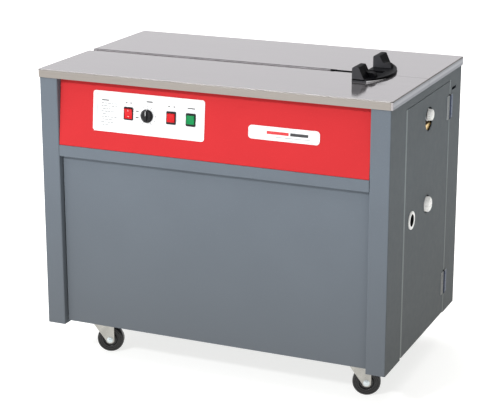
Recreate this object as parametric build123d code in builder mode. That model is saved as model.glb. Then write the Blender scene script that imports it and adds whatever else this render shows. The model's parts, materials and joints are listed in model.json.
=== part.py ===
from build123d import *
import math
import os

# Semi-automatic strapping machine: a table-height cabinet on four casters, with a
# stainless top in two lids, a strap guide, a sealing head, and a strap reel inside.
# Millimetres. Origin on the floor under the middle of the table, +X to the right
# along the table, +Y to the back, +Z up. The operator stands at -Y.

os.makedirs("parts", exist_ok=True)

# ---- driving dimensions -------------------------------------------------------

table_width = 900
table_depth = 560
table_height = 742
table_edge = 20  # height of the folded edge of the lids
lid_sheet = 2

cabinet_side = 446  # outer face of the side panels, from the middle
cabinet_face = 277  # outer face of the front and back, from the middle
cabinet_floor = 92  # underside of the cabinet
sheet = 1.5
bend = 3

column_width = 48
column_return = 37
sill_bottom = 529
sill_top = 557
sill_depth = 30
panel_recess_bottom = 1
panel_recess_top = 17
front_door_recess = 14
front_door_depth = 18
front_door_gap = 2

strap_line = -14  # the strap runs along X above this line
channel_width = 26
channel_depth = 3.5
mouth_start = 217  # the open mouth over the sealing head
mouth_end = 293
mouth_width = 20
running_gap = 0.05
body_gap = 1
cut = 1  # how far a cut runs past the face that it opens

side_door_front = -163
side_door_back = 178
side_door_depth = 15
side_door_gap = 2

wheel_radius = 34
wheel_width = 24
caster_x = 345
caster_y = 190
caster_trail = 26

# ---- heights and limits worked out from them ------------------------------------

half_width = table_width / 2
half_depth = table_depth / 2
table_underside = table_height - table_edge
cabinet_top = table_underside - body_gap
column_inner = cabinet_side - column_width
panel_half_width = column_inner - body_gap
side_opening_front = side_door_front - side_door_gap
side_opening_back = side_door_back + side_door_gap
side_door_z = (cabinet_floor + 3, cabinet_top - 23)
side_opening_top = side_door_z[1] + side_door_gap
side_door_inner_x = cabinet_side - side_door_depth


# ---- shared shapes ------------------------------------------------------------


def save(piece, name, pivot=Axis.Z, turn=0):
    """Label one finished piece and write it, turned about an upright pivot."""
    finished = piece.part.rotate(pivot, turn) if turn else piece.part
    finished.label = name
    export_step(finished, f"parts/{name}.step")


def about(middle, length):
    """The pair of limits of a length that is centred on middle."""
    return (middle - length / 2, middle + length / 2)


def block(x, y, z, mode=Mode.ADD):
    """A box between a pair of limits on each axis."""
    with Locations(((x[0] + x[1]) / 2, (y[0] + y[1]) / 2, (z[0] + z[1]) / 2)):
        Box(x[1] - x[0], y[1] - y[0], z[1] - z[0], mode=mode)


def rod_x(x, y, z, radius, mode=Mode.ADD):
    """A round bar along X between two limits."""
    with BuildSketch(Plane.YZ.offset(x[0])) as section:
        with Locations((y, z)):
            Circle(radius)
    extrude(section.sketch, amount=x[1] - x[0], mode=mode)


def rod_y(x, y, z, radius, mode=Mode.ADD):
    """A round bar along Y between two limits."""
    with BuildSketch(Plane.XZ.offset(-y[1])) as section:
        with Locations((x, z)):
            Circle(radius)
    extrude(section.sketch, amount=y[1] - y[0], mode=mode)


def rod_z(x, y, z, radius, mode=Mode.ADD):
    """A round bar along Z between two limits."""
    with BuildSketch(Plane.XY.offset(z[0])) as section:
        with Locations((x, y)):
            Circle(radius)
    extrude(section.sketch, amount=z[1] - z[0], mode=mode)


def folded_sheet(points, plane, width, radius=bend, thickness=sheet, inside=Side.LEFT):
    """A folded sheet: its outer line in a plane, and the side that its thickness is on.

    Left and right go by the plane that the line alone defines, which may face away from
    the given plane.
    """
    with BuildLine(plane) as outer_line:
        FilletPolyline(*points, radius=radius)
    make_brake_formed(thickness, width, outer_line.line, side=inside)


# ---- cabinet ------------------------------------------------------------------

cabinet_height = cabinet_top - cabinet_floor
pan_sheet = 2
pan_top = cabinet_floor + pan_sheet
pan_front = -240
pan_lip = 20
lip_back = 240
pan_right = 428
pan_reach = cabinet_side - 2 * sheet
pan_back = cabinet_face - 2 * sheet
column_back = -cabinet_face + column_return
door_sheet_y = -cabinet_face + front_door_recess
door_pin_y = door_sheet_y + 2.5
door_pin_z = cabinet_floor + 16
door_pin_radius = 2
back_flange = 30

with BuildPart() as base_pan:
    pan_z = (cabinet_floor, pan_top)
    block((-pan_reach, pan_right + sheet), (pan_front, pan_back), pan_z)
    block((-pan_reach, -column_inner - 2 * sheet), (-pan_back, pan_front), pan_z)
    block((column_inner + 2 * sheet, pan_reach), (-pan_back, side_opening_front - bend), pan_z)
    block((pan_right, pan_reach), (side_opening_back + bend, pan_back), pan_z)
    lip_z = (pan_top, pan_top + pan_lip)
    block((-pan_reach, -pan_reach + sheet), (pan_front, lip_back), lip_z)
    block((pan_right, pan_right + sheet), (pan_front, lip_back), lip_z)
    block((-column_inner, column_inner), (pan_front, pan_front + sheet), lip_z)
save(base_pan, "base_pan")

with BuildPart() as left_side_panel:
    folded_sheet(
        [
            (-cabinet_side + back_flange, cabinet_face),
            (-cabinet_side, cabinet_face),
            (-cabinet_side, -cabinet_face),
            (-column_inner, -cabinet_face),
            (-column_inner, column_back),
        ],
        Plane.XY.offset(cabinet_floor),
        cabinet_height,
    )
    rod_x(
        (-column_inner - 2 * sheet, -column_inner + sheet),
        door_pin_y,
        door_pin_z,
        door_pin_radius + running_gap,
        Mode.SUBTRACT,
    )
save(left_side_panel, "left_side_panel")

hinge_gap = 5  # half width of the notch that clears a knuckle
hinge_notch = 3  # the notch is longer than the hinge by this much at each end
hinge_length = 58
hinge_spans = (about(cabinet_floor + 84, hinge_length), about(cabinet_top - 88, hinge_length))
hinge_axis_y = (side_opening_back + side_door_back) / 2
strap_inlet_y = (196, 232)
strap_inlet_z = about(cabinet_top - 46, 7)

with BuildPart() as right_side_panel:
    folded_sheet(
        [
            (column_inner, column_back),
            (column_inner, -cabinet_face),
            (cabinet_side, -cabinet_face),
            (cabinet_side, side_opening_front),
            (side_door_inner_x, side_opening_front),
        ],
        Plane.XY.offset(cabinet_floor),
        cabinet_height,
    )
    folded_sheet(
        [
            (side_door_inner_x, side_opening_back),
            (cabinet_side, side_opening_back),
            (cabinet_side, cabinet_face),
            (cabinet_side - back_flange, cabinet_face),
        ],
        Plane.XY.offset(cabinet_floor),
        cabinet_height,
    )
    block(
        (cabinet_side - sheet, cabinet_side),
        (side_opening_front - bend, side_opening_back + bend),
        (side_opening_top, cabinet_top),
    )
    block(
        (side_door_inner_x, cabinet_side),
        (side_opening_front, side_opening_back),
        (side_opening_top, side_opening_top + sheet),
    )
    for low, high in hinge_spans:
        block(
            (side_door_inner_x - sheet, cabinet_side + sheet),
            (hinge_axis_y, hinge_axis_y + hinge_gap),
            (low - hinge_notch, high + hinge_notch),
            Mode.SUBTRACT,
        )
    block(
        (cabinet_side - 2 * sheet, cabinet_side + sheet),
        strap_inlet_y,
        strap_inlet_z,
        Mode.SUBTRACT,
    )
    rod_x(
        (column_inner - sheet, column_inner + 2 * sheet),
        door_pin_y,
        door_pin_z,
        door_pin_radius + running_gap,
        Mode.SUBTRACT,
    )
save(right_side_panel, "right_side_panel")

rear_panel_half = 430
rear_panel_z = (cabinet_floor + 1, cabinet_top - 7)
rear_face_y = cabinet_face + sheet
louvre_count = 6
louvre_pitch = 16
louvre_width = 120
louvre_height = 5
louvre_depth = 7
louvre_low_z = cabinet_top - 159
louvre_columns = (-200, 200)
inlet_x = -300
inlet_z = cabinet_floor + 66
inlet_flange = (48, 28)
inlet_body = (38, 20)

with BuildPart() as rear_panel:
    block((-rear_panel_half, rear_panel_half), (cabinet_face, rear_face_y), rear_panel_z)
    for column_x in louvre_columns:
        louvre_x = about(column_x, louvre_width)
        for row in range(louvre_count):
            slot_z = louvre_low_z + row * louvre_pitch
            block(
                louvre_x,
                (cabinet_face - sheet, rear_face_y + sheet),
                (slot_z, slot_z + louvre_height),
                Mode.SUBTRACT,
            )
            with BuildSketch(Plane.YZ.offset(louvre_x[0])):
                with BuildLine():
                    Polyline(
                        (cabinet_face, slot_z + louvre_height),
                        (cabinet_face - louvre_depth, slot_z),
                        (cabinet_face - louvre_depth, slot_z + sheet),
                        (cabinet_face, slot_z + louvre_height + sheet),
                        close=True,
                    )
                make_face()
            extrude(amount=louvre_width)
    block(
        about(inlet_x, inlet_body[0]),
        (cabinet_face - cut, rear_face_y + cut),
        about(inlet_z, inlet_body[1]),
        Mode.SUBTRACT,
    )
save(rear_panel, "rear_panel")

screw_inset = (7, 25)  # from the side and from the end of the rear panel
screw_head_radius = 4.5
screw_head_height = 1.4

with BuildPart() as rear_panel_screws:
    head_y = (rear_face_y, rear_face_y + screw_head_height)
    side_screw_x = rear_panel_half - screw_inset[0]
    low_screw_z = rear_panel_z[0] + screw_inset[1]
    high_screw_z = rear_panel_z[1] - screw_inset[1]
    for screw_z in (low_screw_z, (low_screw_z + high_screw_z) / 2, high_screw_z):
        for screw_x in (-side_screw_x, side_screw_x):
            rod_y(screw_x, head_y, screw_z, screw_head_radius)
    for screw_z in (low_screw_z, high_screw_z):
        rod_y(0, head_y, screw_z, screw_head_radius)
save(rear_panel_screws, "rear_panel_screws")

sill_side_gap = 0.5
sill_round = 1.5

with BuildPart() as front_sill_bar:
    sill_half = column_inner - sill_side_gap
    block(
        (-sill_half, sill_half),
        (-cabinet_face, -cabinet_face + sill_depth),
        (sill_bottom, sill_top),
    )
    fillet(front_sill_bar.edges().filter_by(Axis.X).group_by(Axis.Y)[0], sill_round)
    block(
        (-sill_half - cut, sill_half + cut),
        (-cabinet_face + sheet, -cabinet_face + sill_depth + cut),
        (sill_bottom + sheet, sill_top - sheet),
        Mode.SUBTRACT,
    )
save(front_sill_bar, "front_sill_bar")

# ---- front door: a lift-out tray that tilts forward on two pins ------------------

front_door_z = (cabinet_floor + 7, sill_bottom - front_door_gap)
door_bend = 1.8
door_sheet = 1.2
front_door_half = column_inner - front_door_gap
door_inner_y = door_sheet_y + front_door_depth
door_back_y = door_sheet_y + door_sheet
stiffener_z = about((front_door_z[0] + front_door_z[1]) / 2, 40)
stiffener_end = 10

with BuildPart() as front_door:
    folded_sheet(
        [
            (-front_door_half, door_inner_y),
            (-front_door_half, door_sheet_y),
            (front_door_half, door_sheet_y),
            (front_door_half, door_inner_y),
        ],
        Plane.XY.offset(front_door_z[0]),
        front_door_z[1] - front_door_z[0],
        door_bend,
        door_sheet,
    )
    flange_x = (-front_door_half + sheet, front_door_half - sheet)
    flange_y = (door_sheet_y + door_sheet / 2, door_inner_y)
    block(flange_x, flange_y, (front_door_z[0], front_door_z[0] + sheet))
    block(flange_x, flange_y, (front_door_z[1] - sheet, front_door_z[1]))
    block(flange_x, (door_back_y, door_inner_y), stiffener_z)
    block(
        (flange_x[0] + stiffener_end, flange_x[1] - stiffener_end),
        (door_back_y, door_inner_y - sheet),
        (stiffener_z[0] + sheet, stiffener_z[1] - sheet),
        Mode.SUBTRACT,
    )
    for side in (-1, 1):
        pin_x = sorted((side * (front_door_half - door_sheet / 2), side * (column_inner + 2 * sheet)))
        rod_x(pin_x, door_pin_y, door_pin_z, door_pin_radius)
save(front_door, "front_door")

catch_x = 250
catch_size = (44, 13.5, 27)
catch_gap = 0.5

with BuildPart() as door_catches:
    for x in (-catch_x, catch_x):
        catch_y = door_inner_y + catch_gap
        block(
            about(x, catch_size[0]),
            (catch_y, catch_y + catch_size[1]),
            (sill_bottom - catch_size[2], sill_bottom),
        )
save(door_catches, "door_catches")

# ---- control panel: slopes back from the sill up to the table --------------------

panel_low = (-cabinet_face + panel_recess_bottom, sill_top)
panel_high = (-cabinet_face + panel_recess_top, cabinet_top - 1)
panel_slope = math.atan2(panel_high[0] - panel_low[0], panel_high[1] - panel_low[1])
panel_plane = Plane(
    origin=(0, panel_low[0], panel_low[1]),
    x_dir=(1, 0, 0),
    z_dir=(0, -math.cos(panel_slope), math.sin(panel_slope)),
)
panel_flange = 16
panel_bend = 2

# places on the panel: along X, and up the slope from the sill
label_centre = (-158.5, 94.5)
label_size = (294, 97.5)
label_corner = 7
label_sheet = 0.8
main_switch = (-210, 94.5)
red_switch = (-97.5, 94.5)
green_switch = (-46.5, 94.5)
square_switches = (main_switch, red_switch, green_switch)
dial_centre = (-161, 93)
name_plate_centre = (188, 82.5)
name_plate_size = (176, 32)
name_plate_corner = 9
name_plate_sheet = 1.2

switch_hole = (22, 28)
bezel_size = (24.5, 30.5)
bezel_corner = 2.5
bezel_proud = 2
rocker_cavity = (20.8, 25.4)
push_cavity = (20.8, 21.4)
dial_hole = 3.1

with BuildPart() as control_panel:
    folded_sheet(
        [
            (panel_high[0] + panel_flange, panel_high[1]),
            panel_high,
            panel_low,
            (panel_low[0] + panel_flange, panel_low[1]),
        ],
        Plane.YZ.offset(-panel_half_width),
        2 * panel_half_width,
        panel_bend,
        inside=Side.RIGHT,
    )
    with BuildSketch(panel_plane.offset(-2 * sheet)):
        with Locations(*square_switches):
            Rectangle(*switch_hole)
        with Locations(dial_centre):
            Circle(dial_hole)
    extrude(amount=4 * sheet, mode=Mode.SUBTRACT)
save(control_panel, "control_panel")

with BuildPart() as label_plate:
    with BuildSketch(panel_plane):
        with Locations(label_centre):
            RectangleRounded(*label_size, label_corner)
        with Locations(*square_switches):
            Rectangle(*switch_hole, mode=Mode.SUBTRACT)
        with Locations(dial_centre):
            Circle(dial_hole, mode=Mode.SUBTRACT)
    extrude(amount=label_sheet)
save(label_plate, "label_plate")

with BuildPart() as name_plate:
    with BuildSketch(panel_plane):
        with Locations(name_plate_centre):
            RectangleRounded(*name_plate_size, name_plate_corner)
    extrude(amount=name_plate_sheet)
    fillet(name_plate.faces().sort_by(Axis.Y)[0].edges(), name_plate_sheet / 3)
save(name_plate, "name_plate")

housing_depth = 24
housing_floor = 0.8
hole_clearance = 0.05
rocker_pivot_height = label_sheet
rocker_pin_radius = 1.25
dial_body_radius = 11
dial_body_depth = 12

with BuildPart() as switch_housings:
    with BuildSketch(panel_plane.offset(label_sheet)):
        with Locations(*square_switches):
            RectangleRounded(*bezel_size, bezel_corner)
    extrude(amount=bezel_proud)
    with BuildSketch(panel_plane.offset(label_sheet)):
        with Locations(*square_switches):
            Rectangle(switch_hole[0] - 2 * hole_clearance, switch_hole[1] - 2 * hole_clearance)
    extrude(amount=-housing_depth)
    with BuildSketch(panel_plane.offset(label_sheet + bezel_proud)):
        with Locations(main_switch):
            Rectangle(*rocker_cavity)
        with Locations(red_switch, green_switch):
            Rectangle(*push_cavity)
    extrude(amount=-bezel_proud - housing_depth + housing_floor, mode=Mode.SUBTRACT)
    with BuildSketch(panel_plane.offset(-sheet)):
        with Locations(dial_centre):
            Circle(dial_body_radius)
            Circle(dial_hole, mode=Mode.SUBTRACT)
    extrude(amount=-dial_body_depth)
save(switch_housings, "switch_housings")

# The rocker stands tilted to its off side; its section is drawn square to the pivot.
cap_clearance = 0.4
rocker_width = rocker_cavity[0] - 2 * cap_clearance
rocker_swing_gap = 0.9
rocker_half = rocker_cavity[1] / 2 - rocker_swing_gap
rocker_tilt = 9
rocker_rise = 4.2
rocker_dip = 2.2
rocker_keel = 8
rocker_pivot = panel_plane.from_local_coords((*main_switch, rocker_pivot_height))

with BuildPart() as rocker_switch:
    rocker_side = Plane(
        origin=rocker_pivot - Vector(rocker_width / 2, 0, 0),
        x_dir=panel_plane.y_dir.rotate(Axis.X, rocker_tilt),
        z_dir=(1, 0, 0),
    )
    with BuildSketch(rocker_side):
        with BuildLine():
            Polyline(
                (-rocker_half, rocker_rise),
                (0, rocker_dip),
                (rocker_half, rocker_rise),
                (rocker_half, 0),
                (0, -rocker_keel),
                (-rocker_half, 0),
                close=True,
            )
        make_face()
    extrude(amount=rocker_width)
    with BuildSketch(rocker_side.offset(-cap_clearance / 2)):
        Circle(rocker_pin_radius)
    extrude(amount=rocker_width + cap_clearance)
save(rocker_switch, "rocker_switch")

cap_proud = 4.5
cap_stem = 14
cap_corner = 1.5
cap_round = 0.8

for button_name, centre in (("red_button", red_switch), ("green_button", green_switch)):
    with BuildPart() as button:
        with BuildSketch(panel_plane.offset(label_sheet + cap_proud)):
            with Locations(centre):
                RectangleRounded(
                    push_cavity[0] - 2 * cap_clearance,
                    push_cavity[1] - 2 * cap_clearance,
                    cap_corner,
                )
        extrude(amount=-cap_stem)
        fillet(button.faces().sort_by(Axis.Y)[0].edges(), cap_round)
    save(button, button_name)

dial_gap = 0.6
dial_skirt_radius = 18
dial_skirt = 3
dial_cap_radius = 14.5
dial_cap = 7
dial_taper = 4
pointer_width = 6
pointer_corner = 2
pointer_height = 2.8
dial_base = label_sheet + dial_gap

with BuildPart() as dial_knob:
    with BuildSketch(panel_plane.offset(dial_base)):
        with Locations(dial_centre):
            Circle(dial_skirt_radius)
    extrude(amount=dial_skirt)
    with BuildSketch(panel_plane.offset(dial_base)):
        with Locations(dial_centre):
            Circle(dial_cap_radius)
    extrude(amount=dial_cap, taper=dial_taper)
    with BuildSketch(panel_plane.offset(dial_base)):
        with Locations(dial_centre):
            RectangleRounded(pointer_width, 2 * dial_cap_radius, pointer_corner)
    extrude(amount=dial_cap + pointer_height)
    with BuildSketch(panel_plane.offset(dial_base)):
        with Locations(dial_centre):
            Circle(dial_hole - running_gap)
    extrude(amount=-dial_base - sheet - dial_body_depth)
save(dial_knob, "dial_knob")

# ---- frame under the table ------------------------------------------------------

tube = 25
tube_wall = 2
rail_x = (403, 428)
rail_y = 225
rail_z = (table_underside - 40, table_underside - 15)
beam_z = (rail_z[0] - tube, rail_z[0])
front_beam_y = (-95, -95 + tube)
rear_beam_y = (57, 57 + tube)
lid_pivot_y = 269
lid_pivot_z = table_underside - 10.5
lid_pin_radius = 3
ear_x = (428, 431)
ear_y = (200, 274)
ear_z = about(lid_pivot_z - 5, 25)
arm_x = (434, 438)
lid_pin_end = arm_x[1] + 2
drive_axis_z = table_height - 160
drive_plate_x = (78, 86)
drive_plate_y = (-90, 205)
drive_plate_z = (drive_axis_z - 85, beam_z[0])
input_shaft_radius = 8
motor_y = 140
motor_shaft_radius = 7

with BuildPart() as top_frame:
    for side in (-1, 1):
        rail_span = sorted((side * rail_x[0], side * rail_x[1]))
        block(rail_span, (-rail_y, rail_y), rail_z)
        block(
            (rail_span[0] + tube_wall, rail_span[1] - tube_wall),
            (-rail_y, rail_y),
            (rail_z[0] + tube_wall, rail_z[1] - tube_wall),
            Mode.SUBTRACT,
        )
    for beam_y in (front_beam_y, rear_beam_y):
        block((-rail_x[1], rail_x[1]), beam_y, beam_z)
        block(
            (-rail_x[1], rail_x[1]),
            (beam_y[0] + tube_wall, beam_y[1] - tube_wall),
            (beam_z[0] + tube_wall, beam_z[1] - tube_wall),
            Mode.SUBTRACT,
        )
    for side in (-1, 1):
        ear_span = sorted((side * ear_x[0], side * ear_x[1]))
        pin_span = sorted((side * ear_x[0], side * lid_pin_end))
        for end in (-1, 1):
            block(ear_span, sorted((end * ear_y[0], end * ear_y[1])), ear_z)
            rod_x(pin_span, end * lid_pivot_y, lid_pivot_z, lid_pin_radius)
    block(drive_plate_x, drive_plate_y, drive_plate_z)
    for shaft_y, shaft_radius in ((strap_line, input_shaft_radius), (motor_y, motor_shaft_radius)):
        rod_x(drive_plate_x, shaft_y, drive_axis_z, shaft_radius + running_gap, Mode.SUBTRACT)
save(top_frame, "top_frame")

# ---- strap guide: an arc-fronted plate with two fins astride the strap -----------

guide_x = 294
guide_arc_x = 194
guide_arc_radius = 168
guide_half = 100
guide_z = (table_height - 10, table_height + 6)
guide_round = 1.6
fin_inner = 50
fin_top_width = 16
fin_waist = (27, table_height + 11)  # width and height where the slope grows flatter
fin_base_width = 35
fin_foot = guide_z[0] + 4
fin_top = table_height + 34
fin_round = 1.8
wing_x = (guide_x + 1, guide_x + 46)
wing_top = table_height + 17
wing_length = 18
wing_round = 6
guide_slot_x = (guide_x - cut, 338)
guide_slot_width = 20
guide_slot_depth = 8
post_x = (298, 333)
post_half = 48
head_plate_z = (beam_z[1], beam_z[1] + 10)


def guide_plan(clearance):
    """The guide's outline in plan, as wide as its fins and round at the right."""
    reach = guide_half + clearance
    radius = guide_arc_radius + clearance
    arc_x = guide_arc_x + math.sqrt(radius**2 - reach**2)
    with BuildLine() as outline:
        Polyline(
            (arc_x, strap_line + reach),
            (guide_x - clearance, strap_line + reach),
            (guide_x - clearance, strap_line - reach),
            (arc_x, strap_line - reach),
        )
        ThreePointArc(
            (arc_x, strap_line - reach),
            (guide_arc_x + radius, strap_line),
            (arc_x, strap_line + reach),
        )
    make_face(outline.line)


with BuildPart() as strap_guide:
    with BuildSketch(Plane.XY.offset(guide_z[0])):
        guide_plan(0)
    extrude(amount=guide_z[1] - guide_z[0])
    fillet(strap_guide.faces().sort_by(Axis.Z)[-1].edges(), guide_round)
    for side in (-1, 1):
        inner_y = strap_line + side * fin_inner
        fin_y = sorted((inner_y, strap_line + side * guide_half))
        with BuildSketch(Plane.XZ.offset(-fin_y[1])):
            with BuildLine():
                Polyline(
                    (guide_x, fin_foot),
                    (guide_x, fin_top),
                    (guide_x + fin_top_width, fin_top),
                    (guide_x + fin_waist[0], fin_waist[1]),
                    (guide_x + fin_base_width, fin_foot),
                    close=True,
                )
            make_face()
        extrude(amount=fin_y[1] - fin_y[0])
        wing_y = sorted((inner_y, inner_y + side * wing_length))
        block(wing_x, wing_y, (fin_foot, wing_top))
        wing_edges = strap_guide.edges().filter_by(Axis.Y).filter_by_position(
            Axis.X, wing_x[1] - running_gap, wing_x[1] + running_gap
        )
        fillet(wing_edges.filter_by_position(Axis.Y, *wing_y).group_by(Axis.Z)[-1], wing_round)
    fillet(strap_guide.faces().filter_by(Plane.XY).group_by(Axis.Z)[-1].edges(), fin_round)
    block(
        guide_slot_x,
        about(strap_line, guide_slot_width),
        (guide_z[1] - guide_slot_depth, guide_z[1] + cut),
        Mode.SUBTRACT,
    )
    block(post_x, about(strap_line, 2 * post_half), (head_plate_z[1], guide_z[0]))
save(strap_guide, "strap_guide")

# ---- table: two lids hinged along the front and the back edge --------------------

lid_corner = 7
lid_edge_round = 2.5
inner_flange = channel_depth - 0.5
channel_half = channel_width / 2
mouth_half = mouth_width / 2
hollow_half = half_width - lid_sheet
hollow_top = table_height - lid_sheet
lid_cut_z = (table_underside - cut, table_height + cut)
arm_rise = 4
arm_foot = (12, 20)
arm_eye = 5.4

for lid_name, side in (("table_front_plate", -1), ("table_rear_plate", 1)):
    seam_y = strap_line + side * body_gap / 2
    flange_y = strap_line + side * channel_half
    flange_back_y = flange_y + side * sheet
    outer_y = side * half_depth
    pivot_y = side * lid_pivot_y
    with BuildPart() as lid:
        block((-half_width, half_width), sorted((seam_y, outer_y)), (table_underside, table_height))
        fillet(lid.edges().filter_by(Axis.Z).group_by(Axis.Y)[0 if side < 0 else -1], lid_corner)
        top_rim = lid.faces().sort_by(Axis.Z)[-1].edges()
        fillet([edge for edge in top_rim if abs(edge.center().Y - seam_y) > 1], lid_edge_round)
        # hollow underneath: the top sheet, the outer edges and a low inner flange stay
        block(
            (-hollow_half, hollow_half),
            sorted((flange_back_y, outer_y - side * lid_sheet)),
            (table_underside, hollow_top),
            Mode.SUBTRACT,
        )
        block(
            (-hollow_half, hollow_half),
            sorted((seam_y, flange_back_y)),
            (table_underside, table_height - inner_flange),
            Mode.SUBTRACT,
        )
        block(
            (mouth_end - sheet, hollow_half),
            sorted((seam_y + side * sheet, flange_back_y)),
            (table_underside, hollow_top),
            Mode.SUBTRACT,
        )
        # the strap channel, the mouth over the head, and the guide
        block((-half_width - cut, mouth_start), sorted((seam_y - side, flange_y)), lid_cut_z, Mode.SUBTRACT)
        block(
            (mouth_start - cut, mouth_end),
            sorted((seam_y - side, strap_line + side * mouth_half)),
            lid_cut_z,
            Mode.SUBTRACT,
        )
        with BuildSketch(Plane.XY.offset(lid_cut_z[0])):
            guide_plan(body_gap)
        extrude(amount=lid_cut_z[1] - lid_cut_z[0], mode=Mode.SUBTRACT)
        # goose-neck arms that reach down to the pivots inside the cabinet
        for end in (-1, 1):
            arm_span = sorted((end * arm_x[0], end * arm_x[1]))
            foot_y = pivot_y - side * arm_foot[1]
            rod_x(arm_span, pivot_y, lid_pivot_z, arm_eye)
            block(arm_span, sorted((pivot_y, foot_y)), about(lid_pivot_z, 2 * arm_rise))
            block(
                arm_span,
                sorted((pivot_y - side * arm_foot[0], foot_y)),
                (lid_pivot_z - arm_rise, hollow_top),
            )
            rod_x(arm_span, pivot_y, lid_pivot_z, lid_pin_radius + running_gap, Mode.SUBTRACT)
    save(lid, lid_name)

channel_strip_z = (table_height - channel_depth - 2, table_height - channel_depth)
channel_strip_width = channel_width + 18
channel_strip_x = (-cabinet_side + 2, mouth_start - 2)
channel_supports = (-385, -150, 100)
support_width = 24
support_depth = 28
support_foot = 3

with BuildPart() as strap_channel:
    block(channel_strip_x, about(strap_line, channel_strip_width), channel_strip_z)
    for x in channel_supports:
        foot_z = (beam_z[1], beam_z[1] + support_foot)
        block(about(x, support_width), (front_beam_y[0], rear_beam_y[1]), foot_z)
        block(about(x, support_width), about(strap_line, support_depth), (foot_z[1], channel_strip_z[0]))
save(strap_channel, "strap_channel")

# ---- side door, its hinges and its finger pull -----------------------------------

door_bends = [6, 2]  # rounder along the free edge than along the hinges
upper_window = (10, cabinet_top - 81)
upper_window_radius = 29
lower_window = (12, cabinet_floor + 337)
lower_window_radius = 23
pull_centre = (-110, cabinet_floor + 330.5)
pull_outer = 22
pull_inner = 15
pull_wall = 2
pull_depth = 22
pull_rim = 3
pull_round = 1.2

with BuildPart() as side_door:
    folded_sheet(
        [
            (side_door_inner_x, side_door_front),
            (cabinet_side, side_door_front),
            (cabinet_side, side_door_back),
            (side_door_inner_x, side_door_back),
        ],
        Plane.XY.offset(side_door_z[0]),
        side_door_z[1] - side_door_z[0],
        door_bends,
    )
    flange_x = (side_door_inner_x, cabinet_side - sheet / 3)
    flange_y = (side_door_front + door_bends[0], side_door_back - door_bends[1])
    block(flange_x, flange_y, (side_door_z[0], side_door_z[0] + sheet))
    block(flange_x, flange_y, (side_door_z[1] - sheet, side_door_z[1]))
    for low, high in hinge_spans:
        block(
            (side_door_inner_x - cut, cabinet_side + cut),
            (hinge_axis_y - hinge_gap, hinge_axis_y),
            (low - hinge_notch, high + hinge_notch),
            Mode.SUBTRACT,
        )
    with BuildSketch(Plane.YZ.offset(cabinet_side - 2 * sheet)):
        with Locations(upper_window):
            Circle(upper_window_radius)
        with Locations(lower_window):
            Circle(lower_window_radius)
        with Locations(pull_centre):
            Circle(pull_inner + pull_wall)
    extrude(amount=3 * sheet, mode=Mode.SUBTRACT)
save(side_door, "side_door")

with BuildPart() as finger_pull_ring:
    rod_x((cabinet_side, cabinet_side + pull_rim), *pull_centre, pull_outer)
    rod_x((cabinet_side - pull_depth, cabinet_side), *pull_centre, pull_inner + pull_wall)
    rod_x(
        (cabinet_side - pull_depth + pull_wall, cabinet_side + pull_rim + cut),
        *pull_centre,
        pull_inner,
        Mode.SUBTRACT,
    )
    fillet(finger_pull_ring.faces().sort_by(Axis.X)[-1].edges(), pull_round)
save(finger_pull_ring, "finger_pull_ring")

leaf_width = 21
leaf_sheet = 1.8
knuckle_radius = 4
knuckle_count = 5
knuckle_gap = 0.4
hinge_pin_radius = 2
hinge_pin_end = 2
leaf_screw_inset = 9
leaf_screw_radius = 3
leaf_screw_height = 0.6

for leaf_name, side in (("door_hinge_leaves", -1), ("frame_hinge_leaves", 1)):
    leaf_y = sorted((hinge_axis_y + side * hinge_gap, hinge_axis_y + side * leaf_width))
    bridge_y = sorted((hinge_axis_y, hinge_axis_y + side * hinge_gap))
    leaf_face_x = cabinet_side + leaf_sheet
    with BuildPart() as leaves:
        for low, high in hinge_spans:
            block((cabinet_side, leaf_face_x), leaf_y, (low, high))
            pitch = (high - low) / knuckle_count
            for index in range(0 if side > 0 else 1, knuckle_count, 2):
                knuckle_z = (low + index * pitch + knuckle_gap, low + (index + 1) * pitch - knuckle_gap)
                rod_z(cabinet_side, hinge_axis_y, knuckle_z, knuckle_radius)
                block((cabinet_side + knuckle_gap, leaf_face_x), bridge_y, knuckle_z)
                if side < 0:
                    bore_z = (knuckle_z[0] - cut, knuckle_z[1] + cut)
                    bore = hinge_pin_radius + running_gap
                    rod_z(cabinet_side, hinge_axis_y, bore_z, bore, Mode.SUBTRACT)
            if side > 0:
                pin_z = (low - hinge_pin_end, high + hinge_pin_end)
                rod_z(cabinet_side, hinge_axis_y, pin_z, hinge_pin_radius)
            for screw_z in (low + leaf_screw_inset, (low + high) / 2, high - leaf_screw_inset):
                screw_y = (leaf_y[0] + leaf_y[1]) / 2
                screw_x = (leaf_face_x, leaf_face_x + leaf_screw_height)
                rod_x(screw_x, screw_y, screw_z, leaf_screw_radius)
    save(leaves, leaf_name)

# ---- casters ---------------------------------------------------------------------

caster_plate = 60
caster_plate_sheet = 3
swivel_radius = 20
swivel_gap = 0.4
king_pin_radius = 5
king_pin_head = (8, 5.6)  # radius and height
fork_top_z = (cabinet_floor - 13, cabinet_floor - 10)
fork_gap = 14
fork_sheet = 2.5
fork_back = 14
axle_radius = 4
axle_end = 4
axle_nut = (7, 4)  # radius over the corners and height
hub_radius = 9
hub_width = wheel_width + 2
cheek_shoulder = 4
cheek_reach = 11
cheek_corners = ((-9, -6), (-3, -10), (8, -10), (cheek_reach, -5))  # along X and Z from the axle
tyre_round = 4

with BuildPart() as caster_plates:
    for x in (-caster_x, caster_x):
        for y in (-caster_y, caster_y):
            plate_z = (cabinet_floor - caster_plate_sheet, cabinet_floor)
            block(about(x, caster_plate), about(y, caster_plate), plate_z)
            rod_z(x, y, (fork_top_z[1] + swivel_gap, plate_z[0]), swivel_radius)
            rod_z(x, y, (fork_top_z[0] - swivel_gap, plate_z[0]), king_pin_radius)
            head_top = fork_top_z[0] - swivel_gap
            rod_z(x, y, (head_top - king_pin_head[1], head_top), king_pin_head[0])
save(caster_plates, "caster_plates")

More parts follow.
